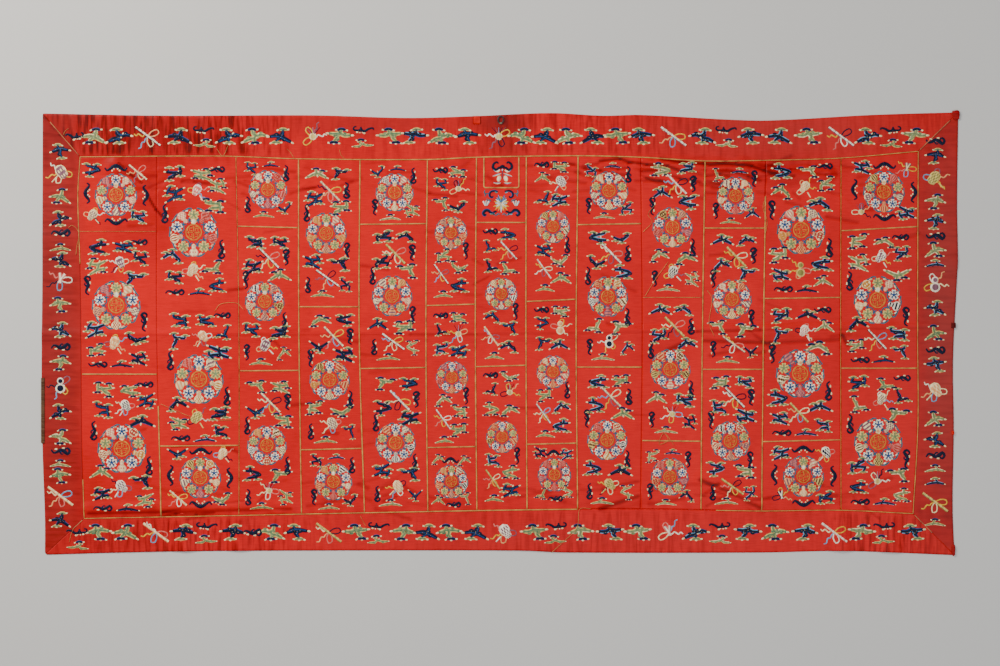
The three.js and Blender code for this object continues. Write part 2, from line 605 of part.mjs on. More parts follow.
// The oval fastening loop beside it: a stiff cord ring, longer than wide.
const LOOP = { x: 0.5, y: 569, halfWidth: 9.5, halfLength: 11.8, cord: 2.25 };
const loopGeometry = new THREE.TorusGeometry(LOOP.halfWidth - LOOP.cord, LOOP.cord, 8, 24);
const loopPoints = loopGeometry.getAttribute('position');
for (let i = 0; i < loopPoints.count; i += 1) {
  const angle = Math.atan2(loopPoints.getY(i), loopPoints.getX(i));
  const stretch = (LOOP.halfLength - LOOP.halfWidth) * Math.sin(angle);
  loopPoints.setY(i, loopPoints.getY(i) + stretch);
}
loopGeometry.translate(LOOP.x, LOOP.y, TAPE_SEAT + LOOP.cord);
addPiece('loop_top', closedGeometry(loopGeometry), DARK_CORD);

// Small crumpled pieces of silk or tape on the edges, each a little sheet with its own ridges.
const SCRAPS = [
  {
    name: 'tab_corner_top', left: 1205, right: HALF_LENGTH, bottom: 568, top: HALF_HEIGHT,
    across: 5, up: 6, ridge: 2.4, slant: 0.9, thickness: 1.4, material: TAB_SILK,
  },
  {
    name: 'tab_corner_bottom', left: 1204, right: 1214, bottom: -HALF_HEIGHT, top: -564,
    across: 3, up: 6, ridge: 1.6, slant: 0.4, thickness: 1.4, material: TAB_SILK,
  },
  {
    name: 'strip_left', left: -HALF_LENGTH, right: -1217, bottom: -294, top: -120,
    across: 2, up: 8, ridge: 0, slant: 0, thickness: 1.5, material: OLD_TAPE,
  },
  {
    name: 'stub_right_high', left: 1203, right: 1215, bottom: 13, top: 27,
    across: 4, up: 4, ridge: 2.2, slant: 1.6, thickness: 1.6, material: DARK_CORD,
  },
  {
    name: 'stub_right_low', left: 1204, right: 1211, bottom: -271, top: -261,
    across: 3, up: 3, ridge: 1.6, slant: 1.2, thickness: 1.4, material: TAB_SILK,
  },
];

// Ridges rise between the rim lines of a scrap, whose rim lies on the cloth.
function scrapHeight(scrap, u, v) {
  const waves = Math.sin(Math.PI * u) * Math.abs(Math.sin(Math.PI * (1.5 * v + scrap.slant * u)));
  return scrap.ridge * waves;
}

for (const scrap of SCRAPS) {
  const net = [];
  for (let i = 0; i < scrap.across; i += 1) {
    const line = [];
    for (let j = 0; j < scrap.up; j += 1) {
      const u = i / (scrap.across - 1);
      const v = j / (scrap.up - 1);
      const x = THREE.MathUtils.lerp(scrap.left, scrap.right, u);
      const y = THREE.MathUtils.lerp(scrap.bottom, scrap.top, v);
      line.push(new THREE.Vector3(x, y, TAPE_SEAT + scrapHeight(scrap, u, v)));
    }
    net.push(line);
  }
  addPiece(scrap.name, sheetGeometry(net, scrap.thickness), scrap.material);
}

export default mantle;
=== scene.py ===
import math
import random

import bpy
import numpy as np
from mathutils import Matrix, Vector


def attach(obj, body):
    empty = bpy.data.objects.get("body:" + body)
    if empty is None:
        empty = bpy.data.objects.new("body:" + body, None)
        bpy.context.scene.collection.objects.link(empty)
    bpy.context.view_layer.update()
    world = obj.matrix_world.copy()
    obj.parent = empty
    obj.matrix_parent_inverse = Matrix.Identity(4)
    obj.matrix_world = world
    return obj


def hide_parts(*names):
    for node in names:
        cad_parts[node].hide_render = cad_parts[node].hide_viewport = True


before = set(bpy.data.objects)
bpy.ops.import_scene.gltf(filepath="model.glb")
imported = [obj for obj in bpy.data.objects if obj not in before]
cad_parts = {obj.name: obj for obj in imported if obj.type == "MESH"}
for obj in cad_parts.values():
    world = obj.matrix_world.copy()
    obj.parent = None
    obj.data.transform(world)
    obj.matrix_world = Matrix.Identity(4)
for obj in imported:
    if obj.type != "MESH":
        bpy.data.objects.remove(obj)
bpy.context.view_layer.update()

dice = random.Random(1897)

# The view: the mantle lies on a pale table and is seen from straight above, square to its face. A broad
# soft light beyond its upper left corner rakes over the folds, and a weaker one fills in from above.
MM = 0.001  # lengths in this script are in millimetres, and points turn into metres as a mesh is made
PHOTO_WIDTH = 1000  # pixels
PHOTO_CENTRE = (500.5, 333)  # the pixel over the mantle's origin
MM_PER_PIXEL = 2.67
LENS = 85
SENSOR = 36
FAR_CLIP = 100  # metres


def at_pixel(px, py):
    """The point of the table, in millimetres, that a pixel of the photograph shows."""
    return (px - PHOTO_CENTRE[0]) * MM_PER_PIXEL, (PHOTO_CENTRE[1] - py) * MM_PER_PIXEL


def linear(colour):
    """A hex sRGB colour as linear RGB."""
    channels = [int(colour[i:i + 2], 16) / 255 for i in (1, 3, 5)]
    return tuple(c / 12.92 if c <= 0.04045 else ((c + 0.055) / 1.055) ** 2.4 for c in channels)


def add_node(tree, kind, settings=None, links=None):
    """A shader node with its settings, and its sockets linked or set to values."""
    node = tree.nodes.new(kind)
    for name, value in (settings or {}).items():
        setattr(node, name, value)
    for name, value in (links or {}).items():
        if isinstance(value, bpy.types.NodeSocket):
            tree.links.new(value, node.inputs[name])
        else:
            node.inputs[name].default_value = value
    return node


def new_material(name, **shader_values):
    """A material with its tree, its Principled shader and the object coordinates."""
    material = bpy.data.materials.new(name)
    material.use_nodes = True
    tree = material.node_tree
    shader = tree.nodes["Principled BSDF"]
    for socket, value in shader_values.items():
        shader.inputs[socket.replace("_", " ")].default_value = value
    place = add_node(tree, "ShaderNodeTexCoord").outputs["Object"]
    return material, tree, shader, place


camera = bpy.data.objects.new("camera", bpy.data.cameras.new("camera"))
camera.data.lens = LENS
camera.data.sensor_width = SENSOR
camera_height = PHOTO_WIDTH * MM_PER_PIXEL * MM * LENS / SENSOR
camera.location = (at_pixel(PHOTO_WIDTH / 2, PHOTO_CENTRE[1])[0] * MM, 0, camera_height)
camera.data.clip_end = FAR_CLIP
bpy.context.scene.collection.objects.link(camera)
bpy.context.scene.camera = camera


def area_light(name, location, aim, size, power, colour):
    """A rectangular lamp turned to face its aim; places and size are in metres, power in watts."""
    lamp = bpy.data.lights.new(name, "AREA")
    lamp.shape = "RECTANGLE"
    lamp.size, lamp.size_y = size
    lamp.energy = power
    lamp.color = linear(colour)
    holder = bpy.data.objects.new(name, lamp)
    holder.location = location
    holder.rotation_euler = (Vector(aim) - Vector(location)).to_track_quat("-Z", "Y").to_euler()
    bpy.context.scene.collection.objects.link(holder)


RAKING_POWER, OVERHEAD_POWER, DAYLIGHT_STRENGTH = 250, 105, 0.35
area_light("raking_light", (-2.9, 2.5, 2.7), (0, 0, 0), (3.0, 1.8), RAKING_POWER, "#fff6ea")
area_light("overhead_light", (1.1, -0.9, 4.4), (0.1, -0.1, 0), (4.5, 3.5), OVERHEAD_POWER, "#ffffff")

world = bpy.data.worlds.new("studio")
world.use_nodes = True
background = world.node_tree.nodes["Background"]
background.inputs["Color"].default_value = (*linear("#e8ecf0"), 1)
background.inputs["Strength"].default_value = DAYLIGHT_STRENGTH
bpy.context.scene.world = world

# Painted table: matt pale grey lacquer with a faint cloudiness. The mantle lies on it, and it is part of
# the stage alone.
table_paint, paint_tree, paint_shader, paint_place = new_material("matt_table_paint", Roughness=0.85)
paint_cloud = add_node(
    paint_tree, "ShaderNodeTexNoise", None, {"Vector": paint_place, "Scale": 0.8, "Detail": 3.0},
)
paint_tone = add_node(paint_tree, "ShaderNodeValToRGB", None, {"Fac": paint_cloud.outputs["Fac"]})
paint_tone.color_ramp.elements[0].color = (*linear("#c9c9c8"), 1)
paint_tone.color_ramp.elements[1].color = (*linear("#d2d2d0"), 1)
paint_tree.links.new(paint_tone.outputs["Color"], paint_shader.inputs["Base Color"])

TABLE_REACH = 8.0  # metres from the middle to each side
table_mesh = bpy.data.meshes.new("table")
table_mesh.from_pydata(
    [(x * TABLE_REACH, y * TABLE_REACH, 0) for x, y in ((-1, -1), (1, -1), (1, 1), (-1, 1))],
    [], [(0, 1, 2, 3)],
)
table = bpy.data.objects.new("table", table_mesh)
table_mesh.materials.append(table_paint)
bpy.context.scene.collection.objects.link(table)

# The field: thirteen columns of patches of red silk satin, joined by plain seams. The cloth has been
# folded away for years, so a crease runs the length of it and it ripples over the table.
CLOTH_THICKNESS = 2.0
SEAM_GAP = 0.3
SEAM_TOP_Y, SEAM_BOTTOM_Y = 470, -480
OUTER_TOP = (
    (-1222, 586), (-896, 580), (-509, 581), (-244, 574), (-65, 579), (132, 587), (274, 580), (375, 582),
    (618, 569), (717, 567), (992, 582), (1222, 589),
)
OUTER_BOTTOM = (
    (-1216, -592), (-917, -584), (-589, -581), (52, -581), (175, -586), (693, -586), (914, -582),
    (1212, -593),
)
OUTER_LEFT = ((-592, -1216), (-494, -1216), (-323, -1222), (-128, -1225), (147, -1223), (586, -1222))
OUTER_RIGHT = (
    (-593, 1212), (-465, 1207), (-254, 1210), (-77, 1208), (117, 1217), (198, 1221), (347, 1219),
    (589, 1222),
)
FRAME_TOP = (
    (-1122, 470), (-741, 472), (-541, 465), (-195, 463), (-65, 469), (204, 473), (375, 469), (546, 459),
    (717, 461), (909, 467), (1115, 485),
)
FRAME_BOTTOM = (
    (-1111, -495), (-698, -487), (-364, -480), (71, -472), (375, -470), (698, -475), (906, -473),
    (1101, -482),
)
FRAME_LEFT = ((-495, -1111), (-302, -1117), (147, -1121), (366, -1128), (470, -1122))
FRAME_RIGHT = ((-482, 1101), (-246, 1114), (24, 1113), (485, 1115))
# Each seam between two columns: its x at the top, middle and bottom, and the share of it from the top
# down that has lost its tape.
SEAMS = (
    (-917, -917, -906, 0.7), (-706, -698, -698, 0), (-539, -538, -531, 0), (-375, -377, -363, 0),
    (-195, -199, -194, 0), (-64, -67, -63, 0), (69, 68, 71, 0), (207, 202, 206, 0), (375, 379, 374, 1),
    (546, 539, 535, 0), (709, 702, 697, 0.11), (909, 908, 909, 0),
)
# The two cross seams of each column: y at the left and right end of the high one, then of the low one.
CROSS_SEAMS = (
    (271, 271, -110, -110), (79, 79, -302, -300), (285, 281, -101, -100), (70, 70, -312, -308),
    (290, 292, -95, -92), (73, 77, -306, -303), (295, 295, -90, -86), (84, 90, -297, -294),
    (289, 292, -91, -91), (95, 95, -287, -289), (280, 280, -97, -97), (92, 95, -290, -285),
    (273, 284, -94, -94),
)
# Ridges and troughs: from x, y to x, y, with rise and half width. The broad ones are in the solids too.
FOLDS = (
    (-1222, -8, 0, -3, 2.6, 26), (0, -3, 1150, 13, 3.2, 26), (372, 452, 640, 446, 5, 26),
    (640, 446, 740, 416, 7.5, 34), (740, 416, 870, 424, 7, 34), (-1030, 446, -960, 400, 5, 38),
    (-945, 366, -895, 300, 4, 38), (-1105, -470, -560, -462, 3.6, 24), (266, -450, 380, -436, 4, 30),
    (540, -392, 690, -452, 4.5, 40), (-1053, 500, -1053, 574, 1.8, 44), (-917, 500, -917, 570, 1.9, 44),
    (-776, 500, -776, 570, 1.8, 44), (-841, -572, -841, -508, 4, 44), (-698, -570, -698, -506, 3.5, 44),
    (909, -574, 909, -500, 4.5, 44), (1040, -576, 1040, -500, 4, 44), (625, 480, 625, 560, 1.6, 44),
    (-1205, 250, -1135, 250, 2.5, 44), (1135, 190, 1200, 190, 3, 44),
)
FLAT_PLACES = (
    (0, 480, 130, 130), (0, -200, 130, 140), (-1180, 540, 90, 90), (1190, 550, 90, 90),
    (-1180, -545, 90, 90), (1180, -550, 90, 90), (-1220, -205, 70, 130), (1210, 20, 50, 50),
    (1210, -266, 50, 50),
)
# Sharp creases of the satin, which are added to the top face only.
CREASES = (
    (-1222, -8, -700, -6, -0.6, 6), (-700, -6, -240, -4, -0.7, 6), (-240, -4, -66, -4, -1.2, 7),
    (-66, -4, 525, 4, -0.7, 6), (525, 4, 693, 8, -1.5, 7), (693, 8, 1150, 13, -0.8, 6),
    (546, -21, 720, -26, -1.8, 8), (720, -26, 905, -18, -1.4, 8), (912, -5, 928, -32, -2.2, 8),
    (-1019, 454, -990, 424, -2.2, 5), (-990, 424, -957, 400, -2.4, 5), (-941, 366, -920, 330, -2.9, 5),
    (-920, 330, -899, 307, -2.8, 5),
    (266, -470, 367, -435, -2.0, 9), (533, -392, 610, -424, -2.2, 9), (610, -424, 693, -467, -2.0, 9),
    (-741, -302, -701, -318, -1.6, 8), (-1100, -482, -900, -478, -1.8, 7), (-900, -478, -560, -470, -1.5, 7),
    (446, -46, 505, -20, -1.8, 9), (300, 262, 302, -80, 0.7, 6), (150, 300, 152, 60, 0.5, 6),
    (560, -60, 640, -44, -1.2, 8), (-470, -10, -380, -26, -1.0, 8), (200, 430, 260, 410, -1.0, 8),
)
# Crushed stretches, in photo pixels: rise, then places. Most lie under the top frame tape to the right of
# the middle, and the last three are near the lower left corner of the field.
CRUSHED = (
    (-2.4, (600, 161), (620, 158.5), (629, 162), (647, 164.5), (667, 166), (680, 171)),
    (-2.6, (660, 158.5), (680, 162), (703, 164), (719, 163.5), (736, 164), (751, 166), (764, 171),
     (777, 174)),
    (-1.8, (641, 171.5), (657, 170.5), (667, 174), (680, 178.5), (700, 182)),
    (-1.8, (709, 166), (721, 164), (743, 166)), (-1.6, (706, 176), (720, 174), (729, 176)),
    (-1.3, (707, 181), (719, 183.5)), (-1.8, (770, 173.5), (783, 176.5), (794, 176)),
    (-1.4, (608, 166), (618, 169), (628, 168)), (-1.2, (690, 172), (702, 175)),
    (1.4, (640, 167), (660, 169), (672, 174)), (1.6, (700, 168), (725, 168.5), (748, 170.5)),
    (-1.5, (585, 168), (600, 170.5), (616, 174), (630, 175.5)),
    (-1.4, (592, 176), (606, 177.5), (622, 181)), (-1.6, (646, 178), (660, 180.5), (672, 186)),
    (-1.5, (715, 170.5), (732, 172), (748, 176.5), (760, 181)), (-1.4, (772, 166), (790, 169), (806, 168)),
    (-1.3, (655, 190), (668, 192), (684, 190)), (-1.3, (712, 187), (728, 188.5), (742, 187)),
    (-1.2, (812, 173), (826, 175), (838, 174)), (1.5, (606, 164.5), (626, 165.5), (640, 168.5)),
    (-1.6, (160, 517), (176, 514), (196, 514.5), (214, 513)), (-1.3, (166, 511), (180, 509)),
    (-1.2, (188, 519), (205, 517)),
)
CRUSHED_REACH = 6.5  # half the width of each of those
RANDOM_CREASES = 260  # slight wrinkles strewn over the cloth
# Places painted darker, in part as painted shade along creases, folds and rucks, and places gone dusty:
# the middle of the place, its reach each way, how much darker and how much dustier.
SHADE_AND_DUST_PLACES = (
    (-980, 540, 560, 150, 0.46, 0.0), (-1180, 590, 120, 60, 0.1, 0.3), (-1190, 100, 110, 900, 0.18, 0.42),
    (-1225, 200, 40, 420, 0.1, 0.5), (-1200, -400, 100, 260, 0.12, 0.2), (1300, 0, 420, 1100, 0.08, 0.3),
    (1190, 0, 110, 800, 0.0, 0.6), (760, 540, 560, 120, 0.08, 0.35), (20, 530, 90, 110, 0.32, 0.2),
    (-6, 570, 130, 60, 0.34, 0.3),
    (-330, 560, 420, 60, 0.14, 0.2), (700, -40, 160, 130, 0.12, 0.0), (-920, 330, 180, 200, 0.2, 0.0),
    (-1050, -540, 300, 90, 0.16, 0.1), (430, -60, 120, 60, 0.12, 0.0), (760, 430, 240, 70, 0.2, 0.0),
    (-1090, -420, 70, 120, 0.12, 0.0), (200, -545, 900, 60, 0.0, 0.12),
)


def follow(table, at):
    """A smooth line through (place, value) points: cubic, with each slope taken from the neighbours."""
    places, values = np.array(table, float).T
    number = np.arange(len(places))
    before, after = np.maximum(number - 1, 0), np.minimum(number + 1, len(places) - 1)
    slopes = (values[after] - values[before]) / (places[after] - places[before])
    at = np.clip(np.asarray(at, float), places[0], places[-1])
    k = np.clip(np.searchsorted(places, at) - 1, 0, len(places) - 2)
    span = places[k + 1] - places[k]
    t = (at - places[k]) / span
    ease = t * t * (3 - 2 * t)
    leaving = t * (1 - t) ** 2 * span * slopes[k]
    arriving = t * t * (t - 1) * span * slopes[k + 1]
    return values[k] * (1 - ease) + values[k + 1] * ease + leaving + arriving


def seam_x(number, y):
    """The x of a column's left-hand seam; 0 is the frame's left side and 13 its right side."""
    if number == 0:
        return follow(FRAME_LEFT, y)
    if number == len(SEAMS) + 1:
        return follow(FRAME_RIGHT, y)
    top, middle, bottom, _ = SEAMS[number - 1]
    return follow(((SEAM_BOTTOM_Y, bottom), (0, middle), (SEAM_TOP_Y, top)), y)


def soft_bump(distance):
    """One at no distance, falling smoothly to nothing at a distance of one and beyond."""
    return (1 - np.minimum(np.abs(distance), 1) ** 2) ** 2


def ridge(x, y, fold):
    """The height that one ridge or trough gives each point."""
    x1, y1, x2, y2, rise, reach = fold
    along = (x2 - x1) ** 2 + (y2 - y1) ** 2
    share = np.clip(((x - x1) * (x2 - x1) + (y - y1) * (y2 - y1)) / along, 0, 1)
    away = np.hypot(x - x1 - share * (x2 - x1), y - y1 - share * (y2 - y1))
    return rise * soft_bump(away / reach)


def rest_height(x, y):
    """How high the cloth's underside is over the table, as in the solids."""
    still = 1.0
    for fx, fy, reach_x, reach_y in FLAT_PLACES:
        t = np.clip(np.hypot((x - fx) / reach_x, (y - fy) / reach_y) - 1, 0, 1)
        still = still * t * t * (3 - 2 * t)
    swell = np.sin(x / 190 + 1.3) * np.sin(y / 140 + 0.4) + 0.6 * np.sin(x / 83 + y / 97) - 0.5
    height = np.maximum(0, 1.7 * swell) * still
    for fold in FOLDS:
        height = np.maximum(height, ridge(x, y, fold))
    return height


def random_creases():
    """Short slight wrinkles, mostly lying across the cloth and mostly near its top and bottom seams."""
    made = []
    for _ in range(RANDOM_CREASES):
        x = dice.uniform(-1090, 1080)
        y = dice.choice((dice.uniform(370, 455), dice.uniform(-470, -400), dice.uniform(-460, 455)))
        length, turn = dice.uniform(25, 100), dice.gauss(0, 0.3)
        rise, reach = dice.choice((-1, -1, 1)) * dice.uniform(0.3, 1.3), dice.uniform(5, 9)
        made.append((x, y, x + length * math.cos(turn), y + length * math.sin(turn), rise, reach))
    return made


small_creases = list(CREASES) + random_creases()
for rise, *spots in CRUSHED:
    for start, end in zip(spots, spots[1:]):
        small_creases.append((*at_pixel(*start), *at_pixel(*end), rise, CRUSHED_REACH))


def border_depth(x, y):
    """How far each point lies into the top or bottom strip, and how far into a side strip."""
    over = np.maximum(y - follow(FRAME_TOP, x), follow(FRAME_BOTTOM, x) - y)
    beside = np.maximum(follow(FRAME_LEFT, y) - x, x - follow(FRAME_RIGHT, y))
    return np.maximum(0, over), np.maximum(0, beside)


def drawn_in(x, y):
    """How strongly the top and bottom strips are gathered along their length."""
    left, right = soft_bump((x + 860) / 430), soft_bump((x - 1010) / 190)
    top = np.clip(0.35 + 0.25 * np.sin(x / 210 + 0.6) + 1.15 * left + 0.1 * right, 0.2, 1.6)
    bottom = np.clip(0.3 + 0.2 * np.sin(x / 170) + 0.35 * left + 0.7 * right, 0.15, 1.6)
    return np.where(y > 0, top, bottom)


GATHER, SIDE_GATHER = 5.2, 6.6  # one gather takes about 2 pi of these lengths


def pucker(x, y):
    """Small gathers across the border strips, where the hem and the frame seam have drawn in."""
    over, beside = border_depth(x, y)
    drawn = drawn_in(x, y)
    phase_x = x / GATHER + 2.2 * np.sin(x / 61) + 1.6 * np.sin(x / 23 + 1) + 0.02 * y
    phase_y = y / SIDE_GATHER + 2.0 * np.sin(y / 57) + 0.02 * x
    across = np.sin(phase_x) * np.clip(over / 20, 0, 1) * drawn
    along = np.sin(phase_y) * np.clip(beside / 25, 0, 1) * 0.2
    near_top = np.exp(-((y - follow(FRAME_TOP, x)) / 34) ** 2)
    near_frame = near_top + np.exp(-((y - follow(FRAME_BOTTOM, x)) / 30) ** 2)
    return 0.36 * np.where(over >= beside, across, along) + 0.28 * np.sin(phase_x * 0.7) * near_frame


SEAM_REACH = 5  # how far a sewn seam draws the cloth down on either side
BARE_SEAMS, BARE_DEPTH = (1, 9), 0.2  # seams that have lost their tape lie flatter


def seam_groove(x, y):
    """One on the sewn seams between patches, falling to nothing on either side."""
    groove = np.zeros_like(x)
    for number in range(1, len(SEAMS) + 1):
        depth = BARE_DEPTH if number in BARE_SEAMS else 1
        groove = np.maximum(groove, depth * soft_bump((x - seam_x(number, y)) / SEAM_REACH))
    for number, ends in enumerate(CROSS_SEAMS):
        left, right = seam_x(number, 0), seam_x(number + 1, 0)
        is_here = (x > left) & (x < right)
        for left_y, right_y in (ends[:2], ends[2:]):
            line = left_y + (x - left) / (right - left) * (right_y - left_y)
            groove = np.maximum(groove, soft_bump((y - line) / SEAM_REACH) * is_here)
    over, beside = border_depth(x, y)
    return groove * (over + beside == 0)


GROOVE_DEPTH, DEEPEST = 0.08, 1.2  # of a seam's groove, and of any crease


def cloth_face(x, y):
    """The height of the cloth's upper face, and its painted shade, its dust and how far it is gathered."""
    x, y = np.asarray(x, float), np.asarray(y, float)
    gathers, groove = pucker(x, y), seam_groove(x, y)
    creases = np.zeros_like(x)
    for crease in small_creases:
        x1, y1, x2, y2, _, reach = crease
        near_x = np.abs(x - (x1 + x2) / 2) < abs(x2 - x1) / 2 + reach
        near_y = np.abs(y - (y1 + y2) / 2) < abs(y2 - y1) / 2 + reach
        near = near_x & near_y
        if near.any():
            creases[near] += ridge(x[near], y[near], crease)
    raised = np.maximum(gathers + creases - GROOVE_DEPTH * groove, -DEEPEST)
    height = rest_height(x, y) + CLOTH_THICKNESS + raised
    # Troughs, creases and seams are painted a little darker: painted shade, with some dust in them too.
    shade = 1 - 0.4 * np.clip(-gathers, 0, 0.8)
    shade = shade * (1 - 0.3 * np.clip(-creases, 0, 2.6)) * (1 - 0.05 * groove)
    dust = np.zeros_like(x)
    # Painted shade along creases and folds, and dust, in the listed places.
    for fx, fy, reach_x, reach_y, darker, dustier in SHADE_AND_DUST_PLACES:
        near = soft_bump(np.hypot((x - fx) / reach_x, (y - fy) / reach_y))
        shade = shade * (1 - darker * near)
        dust = np.maximum(dust, dustier * near)
    over, beside = border_depth(x, y)
    is_across = over >= beside
    strength = np.where(is_across, drawn_in(x, y) / 1.2, np.where(x > 0, 0.2, 0.3))
    gathered = np.clip(np.where(is_across, over, beside) / 14, 0, 1) * strength
    return height, np.stack([shade, dust, np.clip(gathered, 0, 1)], -1)


def cloth_top(x, y):
    """The height of the cloth's upper face."""
    return cloth_face(x, y)[0]


def mesh_from(name, points, groups, materials, material_index=None):
    """A smooth mesh from points in millimetres and arrays of faces, each array with its own corner count."""
    groups = [np.asarray(group, int) for group in groups]
    corners = np.concatenate([np.full(len(group), group.shape[1]) for group in groups])
    mesh = bpy.data.meshes.new(name)
    mesh.vertices.add(len(points))
    mesh.vertices.foreach_set("co", (np.asarray(points, float) * MM).ravel())
    mesh.loops.add(int(corners.sum()))
    mesh.loops.foreach_set("vertex_index", np.concatenate([group.ravel() for group in groups]))
    mesh.polygons.add(len(corners))
    mesh.polygons.foreach_set("loop_start", np.cumsum(corners) - corners)
    for material in materials:
        mesh.materials.append(material)
    if material_index is not None:
        mesh.polygons.foreach_set("material_index", material_index)
    mesh.update(calc_edges=True)
    mesh.polygons.foreach_set("use_smooth", np.full(len(corners), True))
    made = bpy.data.objects.new(name, mesh)
    bpy.context.scene.collection.objects.link(made)
    return made


def grid_quads(along, across, first=0):
    """The quads of a net of points, numbered with its second index running fastest."""
    i, j = np.meshgrid(np.arange(along - 1), np.arange(across - 1), indexing="ij")
    a = first + i * across + j
    return np.stack([a, a + across, a + across + 1, a + 1], -1).reshape(-1, 4)


HEM_ROLL, HEM_DROP = 3.0, 0.7  # how far in from a free edge the cloth's face rounds down, and by how much
BACKING = 0.5  # how far the plain underside lies below the solids' own
UNDERSIDE = 4  # cells of the upper face to each one of the plain underside


def cloth_sheet(name, x, y, materials, free_edge=None):
    """A closed sheet of cloth over a net of places, thinner along its free edge where the hem rolls."""
    top, look = cloth_face(x, y)
    if free_edge is not None:
        top = top - HEM_DROP * np.clip(1 - free_edge / HEM_ROLL, 0, 1)
    along, across = x.shape
    under = np.s_[::UNDERSIDE, ::UNDERSIDE]
    low = np.maximum(0, rest_height(x[under], y[under]) - BACKING)
    upper = np.stack([x, y, top], -1).reshape(-1, 3)
    lower = np.stack([x[under], y[under], low], -1).reshape(-1, 3)
    fine = np.arange(along * across).reshape(along, across)
    plain = np.arange(len(lower)).reshape(low.shape) + along * across
    walls = []
    for high_line, low_line, turn in (
        (fine[:, 0], plain[:, 0], 1), (fine[:, -1], plain[:, -1], -1),
        (fine[0], plain[0], -1), (fine[-1], plain[-1], 1),
    ):
        spans = [high_line[k:len(high_line) - UNDERSIDE + k:UNDERSIDE] for k in range(UNDERSIDE + 1)]
        walls.append(np.stack([low_line[:-1], low_line[1:], *spans[::-1]], -1)[:, ::turn])
    faces = [grid_quads(along, across), grid_quads(*low.shape, along * across)[:, ::-1], *walls]
    sheet = mesh_from(name, np.concatenate([upper, lower]), faces, materials)
    # The cut edges are flat, so that the upper face keeps its own shading up to the seams.
    is_smooth = np.arange(len(sheet.data.polygons)) < len(faces[0]) + len(faces[1])
    sheet.data.polygons.foreach_set("use_smooth", is_smooth)
    painted_shade_and_dust = sheet.data.color_attributes.new(name="painted_shade_and_dust", type="FLOAT_COLOR", domain="POINT")
    looks = np.concatenate([look.reshape(-1, 3), np.tile((1.0, 0.0, 0.0), (len(lower), 1))])
    painted_shade_and_dust.data.foreach_set("color", np.concatenate([looks, np.ones((len(looks), 1))], 1).ravel())
    return sheet


def cells(length):
    """How many cells of the upper face go along a length, in whole cells of the underside."""
    return max(1, round(length / CLOTH_STEP / UNDERSIDE)) * UNDERSIDE


WEFT_PITCH = 3.0  # the real threads are far finer, and are drawn this far apart so that they show
DUST = "#8f3a36"


